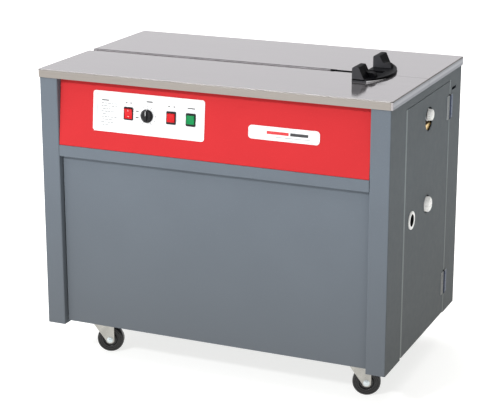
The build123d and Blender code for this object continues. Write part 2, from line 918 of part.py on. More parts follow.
# each caster's place along X and Y, and how far it stands turned from trailing to the right
caster_places = (
    ("front_left", -caster_x, -caster_y, 18),
    ("front_right", caster_x, -caster_y, 18),
    ("rear_left", -caster_x, caster_y, 180),
    ("rear_right", caster_x, caster_y, 180),
)

for place, x, y, swivel in caster_places:
    king_pin = Axis((x, y, 0), (0, 0, 1))
    wheel_x = x + caster_trail
    cheek_end = wheel_x + cheek_reach
    cheek_lower = [(wheel_x + across, wheel_radius + up) for across, up in cheek_corners]
    with BuildPart() as fork:
        rod_z(x, y, fork_top_z, swivel_radius)
        block((x, cheek_end), about(y, 2 * (fork_gap + fork_sheet)), fork_top_z)
        for side in (-1, 1):
            inner_y = y + side * fork_gap
            outer_y = inner_y + side * fork_sheet
            with BuildSketch(Plane.XZ.offset(-max(inner_y, outer_y))):
                with BuildLine():
                    Polyline(
                        (x - fork_back, fork_top_z[1]),
                        (x - fork_back, fork_top_z[0] - cheek_shoulder),
                        *cheek_lower,
                        (cheek_end, fork_top_z[1]),
                        close=True,
                    )
                make_face()
            extrude(amount=fork_sheet)
            with BuildSketch(Plane.XZ.offset(-outer_y)):
                with Locations((wheel_x, wheel_radius)):
                    RegularPolygon(axle_nut[0], 6)
            extrude(amount=-side * axle_nut[1])
        axle_y = about(y, 2 * (fork_gap + fork_sheet + axle_end))
        rod_y(wheel_x, axle_y, wheel_radius, axle_radius)
        king_hole_z = (fork_top_z[0] - cut, fork_top_z[1] + cut)
        rod_z(x, y, king_hole_z, king_pin_radius + running_gap, Mode.SUBTRACT)
    save(fork, f"caster_fork_{place}", king_pin, swivel)
    with BuildPart() as wheel:
        rod_y(wheel_x, about(y, wheel_width), wheel_radius, wheel_radius)
        fillet(wheel.edges().filter_by(GeomType.CIRCLE), tyre_round)
        rod_y(wheel_x, about(y, hub_width), wheel_radius, hub_radius)
        bore_y = about(y, 2 * wheel_width)
        rod_y(wheel_x, bore_y, wheel_radius, axle_radius + running_gap, Mode.SUBTRACT)
    save(wheel, f"caster_wheel_{place}", king_pin, swivel)

# ---- strap reel, its stand and the strap brake ------------------------------------

reel_y = -30
reel_z = pan_top + 216
reel_radius = 175
reel_x = (-330, -150)
reel_flange = 4
reel_hub = 100
reel_tube = 3
reel_bush = 22
reel_shaft = 12
reel_window = (60, 24)  # distance from the axis and radius
reel_window_count = 5
coil_radius = 158
coil_x = (reel_x[0] + reel_flange, reel_x[1] - reel_flange)
upright_x = ((-352, -346), (-134, -128))
upright_width = 60
brake_upright_width = 40
foot_reach = 17
foot_sheet = 4
foot_y = (reel_y - 60, 200)
shaft_end = 8
brake_pivot = (165, pan_top + 144)
brake_upright_top = brake_pivot[1] + 15
brake_roller = (205, pan_top + 354)
brake_levers = ((-344, -340), (-140, -136))
lever_width = 20
brake_pin_radius = 5
brake_pin_end = 2
roller_radius = 11

with BuildPart() as reel_stand:
    for x in upright_x:
        block(x, about(reel_y, upright_width), (pan_top, reel_z + upright_width / 2))
        block(x, about(brake_pivot[0], brake_upright_width), (pan_top, brake_upright_top))
        block((x[0] - foot_reach, x[1] + foot_reach), foot_y, (pan_top, pan_top + foot_sheet))
    shaft_x = (upright_x[0][0] - shaft_end, upright_x[1][1] + shaft_end)
    rod_x(shaft_x, reel_y, reel_z, reel_shaft)
    left_pin_x = (upright_x[0][1], brake_levers[0][1] + brake_pin_end)
    right_pin_x = (brake_levers[1][0] - brake_pin_end, upright_x[1][0])
    for pin_x in (left_pin_x, right_pin_x):
        rod_x(pin_x, *brake_pivot, brake_pin_radius)
save(reel_stand, "reel_stand")

with BuildPart() as strap_reel:
    for x in ((reel_x[0], coil_x[0]), (coil_x[1], reel_x[1])):
        rod_x(x, reel_y, reel_z, reel_radius)
    rod_x(reel_x, reel_y, reel_z, reel_hub)
    rod_x(coil_x, reel_y, reel_z, reel_hub - reel_tube, Mode.SUBTRACT)
    with BuildSketch(Plane.YZ.offset(reel_x[0] - cut)):
        with Locations((reel_y, reel_z)):
            with PolarLocations(reel_window[0], reel_window_count):
                Circle(reel_window[1])
    extrude(amount=reel_x[1] - reel_x[0] + 2 * cut, mode=Mode.SUBTRACT)
    rod_x(reel_x, reel_y, reel_z, reel_bush)
    bore_x = (reel_x[0] - cut, reel_x[1] + cut)
    rod_x(bore_x, reel_y, reel_z, reel_shaft + running_gap, Mode.SUBTRACT)
save(strap_reel, "strap_reel")

with BuildPart() as strap_coil:
    rod_x(coil_x, reel_y, reel_z, coil_radius)
    rod_x(coil_x, reel_y, reel_z, reel_hub, Mode.SUBTRACT)
save(strap_coil, "strap_coil")

lever_rise = (brake_roller[0] - brake_pivot[0], brake_roller[1] - brake_pivot[1])
lever_middle = ((brake_roller[0] + brake_pivot[0]) / 2, (brake_roller[1] + brake_pivot[1]) / 2)
lever_angle = math.degrees(math.atan2(lever_rise[1], lever_rise[0]))

with BuildPart() as brake_arm:
    for x in brake_levers:
        with BuildSketch(Plane.YZ.offset(x[0])):
            with Locations(lever_middle):
                SlotCenterToCenter(math.hypot(*lever_rise), lever_width, rotation=lever_angle)
            with Locations(brake_pivot):
                Circle(brake_pin_radius + running_gap, mode=Mode.SUBTRACT)
        extrude(amount=x[1] - x[0])
    rod_x((brake_levers[0][1], brake_levers[1][0]), *brake_roller, roller_radius)
save(brake_arm, "brake_arm")

# ---- strap pool and its adjusting knobs --------------------------------------------

pool_x = (345, 400)
pool_y = (-150, 165)
pool_top = cabinet_floor + 390
pool_floor = pan_top + 14
plinth_wall = 4
knob_shaft = 5
knob_face = cabinet_side + 10
knob_dome = 6
slack_knob_back = 432
slack_knob_radius = 19
knob_grooves = 8
knob_groove_radius = 3
slack_boss_radius = 12
slack_boss_x = (pool_x[1] - 1, pool_x[1] + 14)
slack_bore_x = (pool_x[1] - 2, pool_x[1] + 20)
slack_shaft_back = pool_x[1] + 1

with BuildPart() as strap_pool_box:
    block(pool_x, pool_y, (pan_top, pool_top))
    block(
        (pool_x[0] + sheet, pool_x[1] - sheet),
        (pool_y[0] + sheet, pool_y[1] - sheet),
        (pool_floor, pool_top + cut),
        Mode.SUBTRACT,
    )
    block(
        (pool_x[0] + plinth_wall, pool_x[1] - plinth_wall),
        (pool_y[0] + plinth_wall, pool_y[1] - plinth_wall),
        (pan_top - cut, pool_floor - sheet),
        Mode.SUBTRACT,
    )
    rod_x(slack_boss_x, *lower_window, slack_boss_radius)
    rod_x(slack_bore_x, *lower_window, knob_shaft + running_gap, Mode.SUBTRACT)
save(strap_pool_box, "strap_pool_box")

with BuildPart() as slack_knob:
    rod_x((slack_knob_back, knob_face), *lower_window, slack_knob_radius)
    fillet(slack_knob.faces().sort_by(Axis.X)[-1].edges(), knob_dome)
    with BuildSketch(Plane.YZ.offset(slack_knob_back)):
        with Locations(lower_window):
            with PolarLocations(slack_knob_radius + knob_groove_radius / 2, knob_grooves):
                Circle(knob_groove_radius)
    extrude(amount=knob_face - slack_knob_back - knob_dome, mode=Mode.SUBTRACT)
    rod_x((slack_shaft_back, slack_knob_back), *lower_window, knob_shaft)
save(slack_knob, "slack_knob")

bracket_x = (418, 421)
bracket_y = (-14, 44)
bracket_bottom = upper_window[1] - 34
stop_block = ((bracket_x[1], 442), (-4, 38), about(upper_window[1] - 22, 18))
tension_axis = (upper_window[0], upper_window[1] + 10)
tension_knob_x = (428, knob_face)
tension_knob_radius = 16
tension_shaft_back = 408
bracket_bolt = (21, 4, 10)  # height over the axis, radius and length

with BuildPart() as tension_bracket:
    block(bracket_x, bracket_y, (bracket_bottom, rail_z[0]))
    block(*stop_block)
    bolt_z = tension_axis[1] + bracket_bolt[0]
    bolt_x = (bracket_x[1], bracket_x[1] + bracket_bolt[2])
    rod_x(bolt_x, tension_axis[0], bolt_z, bracket_bolt[1])
    bore_x = (bracket_x[0] - cut, bracket_x[1] + cut)
    rod_x(bore_x, *tension_axis, knob_shaft + running_gap, Mode.SUBTRACT)
save(tension_bracket, "tension_bracket")

with BuildPart() as tension_knob:
    rod_x(tension_knob_x, *tension_axis, tension_knob_radius)
    fillet(tension_knob.faces().sort_by(Axis.X)[-1].edges(), knob_dome)
    rod_x((tension_shaft_back, tension_knob_x[0]), *tension_axis, knob_shaft)
save(tension_knob, "tension_knob")

# ---- sealing head -------------------------------------------------------------------

head_x = (208, 296)
head_half = 32
head_z = (head_plate_z[0] - 40, table_height - 24)
head_plate_x = (150, 402)
head_plate_y = (front_beam_y[0], rear_beam_y[1])
slide_table_x = (219, 291)
slide_table_z = (table_height - 16, table_height - channel_depth)
slide_table_back = 60
slide_gap = 0.3
slide_rail_x = (210, 291)
slide_rail_y = (strap_line + head_half, 74)
bearing_x = ((156, 168), (322, 334))
bearing_half = 30
bearing_bottom = drive_axis_z - 35
cam_shaft_radius = 9
stack_half = 10
stack_z = (drive_axis_z + 40, table_height - 25)
stack_gap = 0.3
stack = (("left_gripper", 228, 8), ("press_head", 255, 10), ("right_gripper", 282, 8))

with BuildPart() as head_block:
    block(head_plate_x, head_plate_y, head_plate_z)
    block(head_x, about(strap_line, 2 * head_half), head_z)
    block(slide_rail_x, slide_rail_y, (head_plate_z[1], slide_table_z[0] - slide_gap))
    for x in bearing_x:
        block(x, about(strap_line, 2 * bearing_half), (bearing_bottom, head_plate_z[0]))
        rod_x(x, strap_line, drive_axis_z, cam_shaft_radius + running_gap, Mode.SUBTRACT)
    for _, x, half in stack:
        block(
            about(x, 2 * (half + stack_gap)),
            about(strap_line, 2 * (stack_half + stack_gap)),
            (head_z[0] - cut, head_z[1] + cut),
            Mode.SUBTRACT,
        )
save(head_block, "head_block")

tooth_pitch = 3
tooth_depth = 0.8
tooth_count = 5
stack_foot_round = 6

for stack_name, x, half in stack:
    with BuildPart() as slider:
        block(about(x, 2 * half), about(strap_line, 2 * stack_half), stack_z)
        fillet(slider.edges().filter_by(Axis.Y).group_by(Axis.Z)[0], stack_foot_round)
        if "gripper" in stack_name:
            with Locations((x, strap_line, stack_z[1])):
                with GridLocations(tooth_pitch, 0, tooth_count, 1):
                    Box(tooth_pitch / 2, 2 * stack_half, 2 * tooth_depth, mode=Mode.SUBTRACT)
    save(slider, stack_name)

with BuildPart() as slide_table:
    block(slide_table_x, (strap_line - stack_half, slide_table_back), slide_table_z)
    fillet(slide_table.edges().filter_by(Axis.X).group_by(Axis.Y)[0], sheet)
save(slide_table, "slide_table")

# The heater stands in front of the head block, far enough for its whole travel.
heater_travel = 22
heater_body_x = (243, 267)
heater_blade_x = (246, 264)
heater_front = head_plate_y[0] + 2
heater_back = strap_line - head_half - heater_travel - 1
heater_top = table_height - 20
blade_tip = strap_line - stack_half - 2
blade_z = (heater_top - 2, heater_top + 0.5)

with BuildPart() as heater_slide:
    block(heater_body_x, (heater_front, heater_back), (head_plate_z[1] + slide_gap, heater_top))
    block(heater_blade_x, (heater_front, blade_tip), blade_z)
save(heater_slide, "heater_slide")

# cams stand a quarter turn apart, so that the shaft is balanced
cam_width = 12
cam_base = 25
cam_nose = 8
cam_reach = 27
cam_places = (228, 255, 282, 308)
camshaft_x = (134, 340)

with BuildPart() as camshaft:
    rod_x(camshaft_x, strap_line, drive_axis_z, cam_shaft_radius)
    for turn, x in enumerate(cam_places):
        angle = math.radians(90 * turn)
        nose = (
            strap_line + cam_reach * math.cos(angle),
            drive_axis_z + cam_reach * math.sin(angle),
        )
        with BuildSketch(Plane.YZ.offset(x - cam_width / 2)):
            with Locations((strap_line, drive_axis_z)):
                Circle(cam_base)
            with Locations(nose):
                Circle(cam_nose)
            make_hull()
        extrude(amount=cam_width)
save(camshaft, "camshaft")

# ---- drive -------------------------------------------------------------------------

gearbox_x = (86, 148)
gearbox_size = 104
gearbox_round = 8
belt_x = (50, 64)
belt_thickness = 4
belt_gap = 0.4
pulley_lip = 7
pulley_lip_width = 3
motor_pulley_radius = 25
gearbox_pulley_radius = 50
motor_x = (86, 270)
motor_radius = 60
motor_round = 6
fin_count = 24
fin_size = (8, 2.4)
fin_x = (motor_x[0] + 25, motor_x[1] - 45)
terminal_box_x = (130, 190)
terminal_box_width = 60
fin_circle = motor_radius + 1
motor_shaft_end = motor_x[0] + 10
input_shaft_end = gearbox_x[0] - 0.4
shaft_socket = 12

with BuildPart() as gearbox:
    block(gearbox_x, about(strap_line, gearbox_size), about(drive_axis_z, gearbox_size))
    fillet(gearbox.edges().filter_by(Axis.X), gearbox_round)
    socket_x = (camshaft_x[0] - cut, gearbox_x[1] + cut)
    rod_x(socket_x, strap_line, drive_axis_z, cam_shaft_radius + running_gap, Mode.SUBTRACT)
save(gearbox, "gearbox")

with BuildPart() as motor:
    rod_x(motor_x, motor_y, drive_axis_z, motor_radius)
    fillet(motor.edges().filter_by(GeomType.CIRCLE), motor_round)
    with BuildSketch(Plane.YZ.offset(fin_x[0])):
        with Locations((motor_y, drive_axis_z)):
            with PolarLocations(fin_circle, fin_count):
                Rectangle(*fin_size)
    extrude(amount=fin_x[1] - fin_x[0])
    block(
        terminal_box_x,
        about(motor_y, terminal_box_width),
        (drive_axis_z + motor_radius - shaft_socket, beam_z[0] - cut),
    )
    socket_x = (motor_x[0] - cut, motor_x[0] + shaft_socket)
    rod_x(socket_x, motor_y, drive_axis_z, motor_shaft_radius + running_gap, Mode.SUBTRACT)
save(motor, "motor")

pulleys = (
    ("motor_pulley", motor_y, motor_pulley_radius, motor_shaft_radius, motor_shaft_end),
    ("gearbox_pulley", strap_line, gearbox_pulley_radius, input_shaft_radius, input_shaft_end),
)
rim_x = (belt_x[0] - 1, belt_x[1] + 1)
lips_x = ((rim_x[0] - pulley_lip_width, rim_x[0]), (rim_x[1], rim_x[1] + pulley_lip_width))

for pulley_name, y, radius, shaft_radius, shaft_reach in pulleys:
    with BuildPart() as pulley:
        rod_x(rim_x, y, drive_axis_z, radius)
        for lip_x in lips_x:
            rod_x(lip_x, y, drive_axis_z, radius + pulley_lip)
        rod_x((belt_x[1], shaft_reach), y, drive_axis_z, shaft_radius)
    save(pulley, pulley_name)

with BuildPart() as drive_belt:
    for extra, mode in ((belt_gap + belt_thickness, Mode.ADD), (belt_gap, Mode.SUBTRACT)):
        with BuildSketch(Plane.YZ.offset(belt_x[0])):
            with Locations((motor_y, drive_axis_z)):
                Circle(motor_pulley_radius + extra)
            with Locations((strap_line, drive_axis_z)):
                Circle(gearbox_pulley_radius + extra)
            make_hull()
        extrude(amount=belt_x[1] - belt_x[0], mode=mode)
save(drive_belt, "drive_belt")

# ---- strap feed ----------------------------------------------------------------------

feed_x = 375
feed_frame_x = (350, 400)
feed_plates_y = ((-50, -44), (16, 22))
feed_frame_bottom = drive_axis_z - 45
feed_floor = 5
feed_shaft = 6
driven_radius = 22
idle_radius = 15
strap_gap = 0.6
idle_z = drive_axis_z + driven_radius + strap_gap + idle_radius
side_play = 0.5
feed_motor_end = 100
feed_motor_radius = 27
feed_motor_round = 3

with BuildPart() as feed_frame:
    for plate_y in feed_plates_y:
        block(feed_frame_x, plate_y, (feed_frame_bottom, head_plate_z[0]))
        for z in (drive_axis_z, idle_z):
            rod_y(feed_x, plate_y, z, feed_shaft + running_gap, Mode.SUBTRACT)
    block(
        feed_frame_x,
        (feed_plates_y[0][1], feed_plates_y[1][0]),
        (feed_frame_bottom, feed_frame_bottom + feed_floor),
    )
save(feed_frame, "feed_frame")

roller_y = (feed_plates_y[0][1] + side_play, feed_plates_y[1][0] - side_play)
roller_shaft_y = (feed_plates_y[0][0], feed_plates_y[1][1] - side_play)

for roller_name, z, radius in (
    ("feed_roller", drive_axis_z, driven_radius),
    ("idle_roller", idle_z, idle_radius),
):
    with BuildPart() as roller:
        rod_y(feed_x, roller_y, z, radius)
        rod_y(feed_x, roller_shaft_y, z, feed_shaft)
    save(roller, roller_name)

with BuildPart() as feed_motor:
    rod_y(feed_x, (feed_plates_y[1][1], feed_motor_end), drive_axis_z, feed_motor_radius)
    fillet(feed_motor.faces().sort_by(Axis.Y)[-1].edges(), feed_motor_round)
save(feed_motor, "feed_motor")

# ---- electrical parts ------------------------------------------------------------------

box_x = (-400, -180)
box_y = (-130, 110)
box_z = (beam_z[0] - 90, beam_z[0])
box_corner = 4
wire_hole = (-290, 45, 8)  # place along X, height over the box floor and radius

with BuildPart() as control_box:
    block(box_x, box_y, box_z)
    fillet(control_box.edges().filter_by(Axis.Z), box_corner)
    block(
        (box_x[0] + sheet, box_x[1] - sheet),
        (box_y[0] + sheet, box_y[1] - sheet),
        (box_z[0] + sheet, box_z[1] - sheet),
        Mode.SUBTRACT,
    )
    hole_y = (box_y[0] - cut, box_y[0] + sheet + cut)
    rod_y(wire_hole[0], hole_y, box_z[0] + wire_hole[1], wire_hole[2], Mode.SUBTRACT)
save(control_box, "control_box")

inlet_corner = 3
inlet_depth = 20
socket_size = (27, 16)
socket_floor_y = cabinet_face - 17
pin_pitch = 7
pin_size = (2, 4)
pin_end_y = cabinet_face - 2

with BuildPart() as power_inlet:
    block(about(inlet_x, inlet_flange[0]), (rear_face_y, half_depth), about(inlet_z, inlet_flange[1]))
    fillet(power_inlet.edges().filter_by(Axis.Y), inlet_corner)
    block(
        about(inlet_x, inlet_body[0]),
        (cabinet_face - inlet_depth, rear_face_y),
        about(inlet_z, inlet_body[1]),
    )
    block(
        about(inlet_x, socket_size[0]),
        (socket_floor_y, half_depth + cut),
        about(inlet_z, socket_size[1]),
        Mode.SUBTRACT,
    )
    for pin_x in (inlet_x - pin_pitch, inlet_x, inlet_x + pin_pitch):
        block(about(pin_x, pin_size[0]), (socket_floor_y, pin_end_y), about(inlet_z, pin_size[1]))
save(power_inlet, "power_inlet")
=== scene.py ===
import json
import math

import bmesh
import bpy
from mathutils import Matrix, Vector


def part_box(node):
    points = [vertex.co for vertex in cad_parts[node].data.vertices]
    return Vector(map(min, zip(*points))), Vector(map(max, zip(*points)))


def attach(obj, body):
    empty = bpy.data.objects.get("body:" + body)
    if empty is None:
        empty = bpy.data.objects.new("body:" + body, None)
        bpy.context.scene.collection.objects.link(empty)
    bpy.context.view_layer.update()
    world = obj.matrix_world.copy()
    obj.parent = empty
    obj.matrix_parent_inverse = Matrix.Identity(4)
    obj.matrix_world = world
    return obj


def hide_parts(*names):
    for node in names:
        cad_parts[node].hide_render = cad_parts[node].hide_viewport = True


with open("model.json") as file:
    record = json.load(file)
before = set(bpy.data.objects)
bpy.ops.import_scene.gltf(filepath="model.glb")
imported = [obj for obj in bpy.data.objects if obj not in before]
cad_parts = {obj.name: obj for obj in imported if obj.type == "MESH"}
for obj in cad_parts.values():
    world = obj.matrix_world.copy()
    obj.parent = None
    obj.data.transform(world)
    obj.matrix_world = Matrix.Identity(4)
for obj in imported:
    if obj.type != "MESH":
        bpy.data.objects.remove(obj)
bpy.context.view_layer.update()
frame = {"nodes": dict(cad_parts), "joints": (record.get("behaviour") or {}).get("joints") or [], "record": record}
nodes = frame["nodes"]
record = frame["record"]
joints = {joint["name"]: joint for joint in frame["joints"]}
body_of = {node: body for body, group in record["behaviour"]["bodies"].items() for node in group}
slot_of = {part["node"]: part["material_slot"] for part in record["subparts"]}
scene = bpy.context.scene
MM = 0.001
X_AXIS, Y_AXIS, Z_AXIS = range(3)
MIX_FIRST, MIX_SECOND, MIX_RESULT = 6, 7, 2  # the colour sockets of a Mix node
RANGES = ("From Min", "From Max", "To Min", "To Max")  # the numbers of a Map Range node


def limits(node):
    """The lowest and the highest corner of a CAD node, in millimetres."""
    low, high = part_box(node)
    return low / MM, high / MM


table_top = limits("table_front_plate")[1].z

# ---------------------------------------------------------------- camera
TILT_DOWN, TURN = 15.78, 23.52
camera_data = bpy.data.cameras.new("camera")
camera_data.lens = 111.07
camera_data.sensor_width = 36.0
camera_data.shift_y = -0.05
camera = bpy.data.objects.new("camera", camera_data)
camera.location = (1.475, -3.418, table_top * MM + 0.7566)
camera.rotation_euler = (math.radians(90 - TILT_DOWN), 0.0, math.radians(TURN))
scene.collection.objects.link(camera)
scene.camera = camera


# ---------------------------------------------------------------- studio
def light(name, place, aim, size, power, tint=(1.0, 1.0, 1.0)):
    """A soft rectangular light at place that points at aim."""
    data = bpy.data.lights.new(name, "AREA")
    data.shape = "RECTANGLE"
    data.size, data.size_y = size
    data.energy = power
    data.color = tint
    lamp = bpy.data.objects.new(name, data)
    lamp.location = place
    lamp.rotation_euler = (Vector(aim) - Vector(place)).to_track_quat("-Z", "Y").to_euler()
    scene.collection.objects.link(lamp)


WALL_FADE = (0.15, 0.85)  # the X of the directions between which the room turns dim


def studio_walls(bright, dim):
    """A white room whose wall on the right, towards +X, is dimmer."""
    world = bpy.data.worlds.new("studio")
    world.use_nodes = True
    tree = world.node_tree
    place = tree.nodes.new("ShaderNodeTexCoord").outputs["Generated"]
    split = tree.nodes.new("ShaderNodeSeparateXYZ")
    ramp = tree.nodes.new("ShaderNodeMapRange")
    ramp.interpolation_type = "SMOOTHSTEP"
    for key, number in zip(RANGES, WALL_FADE):
        ramp.inputs[key].default_value = number
    blend = tree.nodes.new("ShaderNodeMix")
    blend.data_type = "RGBA"
    blend.inputs[MIX_FIRST].default_value = (*bright, 1.0)
    blend.inputs[MIX_SECOND].default_value = (*dim, 1.0)
    tree.links.new(place, split.inputs["Vector"])
    tree.links.new(split.outputs["X"], ramp.inputs["Value"])
    tree.links.new(ramp.outputs["Result"], blend.inputs["Factor"])
    tree.links.new(blend.outputs[MIX_RESULT], tree.nodes["Background"].inputs["Color"])
    scene.world = world


scene.view_settings.view_transform = "Standard"
studio_walls((0.80, 0.80, 0.81), (0.09, 0.09, 0.075))
light("key", (-1.1, -3.4, 2.7), (0, 0, 0.45), (0.6, 0.3), 92, (0.97, 0.985, 1.0))
light("overhead", (-2.0, 1.0, 3.6), (-2.0, 1.0, 0.0), (7.0, 6.0), 150)
light("far_panel", (5.5, -5.5, 2.8), (0, 0, 0.7), (6.0, 3.0), 28)
light("backdrop", (-2.5, 3.0, 4.5), (-1.5, 3.5, 0.0), (5.0, 4.0), 260)


# ---------------------------------------------------------------- materials
class Shader:
    """A material's node tree with short calls for the nodes that it uses."""

    def __init__(self, name, color, roughness, metallic=0.0, **constants):
        self.material = bpy.data.materials.new(name)
        self.material.use_nodes = True
        self.tree = self.material.node_tree
        self.surface = self.tree.nodes["Principled BSDF"]
        self.surface.inputs["Metallic"].default_value = metallic
        self.surface.inputs["Roughness"].default_value = roughness
        self.surface.inputs["Base Color"].default_value = (*color, 1.0)
        for key, value in constants.items():
            self.surface.inputs[key.replace("_", " ")].default_value = value
        self.place = self.tree.nodes.new("ShaderNodeTexCoord").outputs["Object"]

    def link(self, start, end):
        self.tree.links.new(start, end)

    def noise(self, scale, detail=3.0, stretch=(1.0, 1.0, 1.0)):
        mapping = self.tree.nodes.new("ShaderNodeMapping")
        mapping.inputs["Scale"].default_value = stretch
        self.link(self.place, mapping.inputs["Vector"])
        node = self.tree.nodes.new("ShaderNodeTexNoise")
        node.inputs["Scale"].default_value = scale
        node.inputs["Detail"].default_value = detail
        self.link(mapping.outputs["Vector"], node.inputs["Vector"])
        return node.outputs["Fac"]

    def spread(self, value, low, high, start=0.3, end=0.7):
        """Maps value's range start to end onto low to high."""
        node = self.tree.nodes.new("ShaderNodeMapRange")
        for key, number in zip(RANGES, (start, end, low, high)):
            node.inputs[key].default_value = number
        self.link(value, node.inputs["Value"])
        return node.outputs["Result"]

    def along(self, axis):
        """The place along an axis, X, Y or Z, in metres; Z is the height over the floor."""
        split = self.tree.nodes.new("ShaderNodeSeparateXYZ")
        self.link(self.place, split.inputs["Vector"])
        return split.outputs[axis]

    def mix(self, factor, first, second):
        node = self.tree.nodes.new("ShaderNodeMix")
        node.data_type = "RGBA"
        self.link(factor, node.inputs["Factor"])
        for end, value in ((MIX_FIRST, first), (MIX_SECOND, second)):
            if isinstance(value, tuple):
                node.inputs[end].default_value = (*value, 1.0)
            else:
                self.link(value, node.inputs[end])
        return node.outputs[MIX_RESULT]

    def paint(self, value):
        self.link(value, self.surface.inputs["Base Color"])

    def rough(self, value):
        self.link(value, self.surface.inputs["Roughness"])

    def bump(self, height, distance, strength=1.0):
        node = self.tree.nodes.new("ShaderNodeBump")
        node.inputs["Strength"].default_value = strength
        node.inputs["Distance"].default_value = distance
        self.link(height, node.inputs["Height"])
        self.link(node.outputs["Normal"], self.surface.inputs["Normal"])


def shade(color, factor):
    return tuple(min(1.0, channel * factor) for channel in color)


FLOOR_SHADE_FADE = (0.05, 0.55)  # the heights over the floor between which the painted shade fades out


def powder_coat(name, color, roughness=0.48):
    """Satin powder coat: fine orange peel, faint mottling, and painted shade that turns it darker and warmer near
    the floor.
    """
    s = Shader(name, color, roughness, Specular_IOR_Level=0.02)
    mottle = s.spread(s.noise(7.0, 5.0), 0.0, 1.0)
    coat = s.mix(mottle, shade(color, 0.97), shade(color, 1.03))
    grit = s.spread(s.noise(420.0, 2.0), 0.0, 1.0, 0.62, 0.78)
    coat = s.mix(grit, coat, shade(color, 1.14))
    # painted shade: a darker, warmer tone of the coat towards the floor
    painted_shade = (0.82 * color[0], 0.78 * color[1], 0.74 * color[2])
    s.paint(s.mix(s.spread(s.along("Z"), 1.0, 0.0, *FLOOR_SHADE_FADE), coat, painted_shade))
    s.rough(s.spread(s.noise(60.0, 4.0), roughness - 0.05, roughness + 0.06))
    s.bump(s.noise(900.0, 2.0), 0.00006, 0.6)
    return s.material


def brushed_metal(name, color, roughness, along, grain=0.00001, streak=0.03, metallic=1.0):
    """Metal with a fine straight grain along one axis."""
    s = Shader(name, color, roughness, metallic=metallic)
    fine_stretch, broad_stretch = [420.0] * 3, [60.0] * 3
    fine_stretch[along], broad_stretch[along] = 3.0, 0.6
    fine = s.noise(1.0, 5.0, tuple(fine_stretch))
    broad = s.noise(1.0, 3.0, tuple(broad_stretch))
    s.paint(s.mix(s.spread(fine, 0.0, 1.0), shade(color, 1 - streak), shade(color, 1 + streak)))
    s.rough(s.spread(broad, roughness - 0.03, roughness + 0.04))
    s.bump(fine, grain, 0.4)
    return s.material


def beaded_fold(name, color, bead_highlight):
    """A folded edge with a painted highlight half-way up: a lighter band that stands for the light on a bead."""
    highlight_foot, highlight_crest = (15.0, 12.0), (8.0, 5.0)  # how far below the table top each fades
    s = Shader(name, color, 0.32, metallic=1.0)
    rise = s.along("Z")
    foot = s.spread(rise, 0.0, 1.0, *((table_top - drop) * MM for drop in highlight_foot))
    crest = s.spread(rise, 1.0, 0.0, *((table_top - drop) * MM for drop in highlight_crest))
    grain = s.noise(1.0, 4.0, (420.0, 3.0, 420.0))
    tone = s.mix(foot, color, s.mix(crest, color, bead_highlight))
    s.paint(s.mix(s.spread(grain, 0.0, 0.25), tone, color))
    s.bump(grain, 0.00001, 0.4)
    return s.material


# painted shade: the near-black that stands for the shade inside the mouth of the sealing head
MOUTH_SHADE_BLACK = (0.006, 0.006, 0.007)
MOUTH_SHADE_FROM = (0.198, 0.200)  # where the channel turns black with painted shade before the mouth, along X
FRONT_SHADOW_TO = (-0.0112, -0.0098)  # where the painted shadow along the channel's front edge ends, along Y
WALL_RIM = (1.9, 1.1)  # how far below the table top the painted shade along the wall's top edge fades in


def edged_floor(name, color, edge):
    """The strap channel's brushed floor, with a painted shadow along its front edge and painted shade near the
    mouth.
    """
    s = Shader(name, color, 0.22, metallic=1.0)
    grain = s.noise(1.0, 5.0, (3.0, 420.0, 420.0))
    painted_shade = s.spread(s.along("Y"), 1.0, 0.0, *FRONT_SHADOW_TO)
    clean = s.mix(s.spread(grain, 0.0, 1.0), shade(color, 0.96), shade(color, 1.04))
    mouth_shade_mask = s.spread(s.along("X"), 0.0, 1.0, *MOUTH_SHADE_FROM)
    s.paint(s.mix(mouth_shade_mask, s.mix(painted_shade, clean, edge), MOUTH_SHADE_BLACK))
    s.bump(grain, 0.00001, 0.4)
    return s.material


def shaded_wall(name, color, top):
    """The strap channel's side: painted shade along its top edge, and near-black painted shade near the mouth."""
    s = Shader(name, color, 0.6, Specular_IOR_Level=0.05)
    rim = s.spread(s.along("Z"), 0.0, 1.0, *((table_top - drop) * MM for drop in WALL_RIM))
    wall = s.mix(s.spread(s.noise(60.0, 3.0), 0.0, 1.0), shade(color, 0.95), shade(color, 1.05))
    mouth_shade_mask = s.spread(s.along("X"), 0.0, 1.0, *MOUTH_SHADE_FROM)
    s.paint(s.mix(mouth_shade_mask, s.mix(rim, wall, top), MOUTH_SHADE_BLACK))
    return s.material


def plated(name, color, roughness):
    """Zinc plate: a soft cloudy sheen with tiny crystals."""
    s = Shader(name, color, roughness, metallic=1.0)
    cloud = s.spread(s.noise(35.0, 4.0), 0.0, 1.0)
    s.paint(s.mix(cloud, shade(color, 0.86), shade(color, 1.08)))
    s.rough(s.spread(s.noise(120.0, 3.0), roughness - 0.07, roughness + 0.1))
    s.bump(s.noise(700.0, 3.0), 0.00003, 0.5)
    return s.material


def galvanised(name, color):
    """Galvanised sheet with a faint spangle."""
    s = Shader(name, color, 0.42, metallic=1.0)
    spangle = s.tree.nodes.new("ShaderNodeTexVoronoi")
    spangle.inputs["Scale"].default_value = 140.0
    s.link(s.place, spangle.inputs["Vector"])
    flake = s.spread(spangle.outputs["Color"], 0.0, 1.0, 0.1, 0.9)
    s.paint(s.mix(flake, shade(color, 0.9), shade(color, 1.06)))
    s.rough(s.spread(s.noise(25.0, 3.0), 0.36, 0.48))
    return s.material


def moulded(name, color, roughness, grain=900.0, depth=0.00004, **constants):
    """Moulded plastic, rubber or cast metal with a fine surface texture."""
    s = Shader(name, color, roughness, **constants)
    s.paint(s.mix(s.spread(s.noise(40.0, 3.0), 0.0, 1.0), shade(color, 0.92), shade(color, 1.1)))
    s.rough(s.spread(s.noise(180.0, 3.0), roughness - 0.05, roughness + 0.07))
    s.bump(s.noise(grain, 2.0), depth, 0.5)
    return s.material


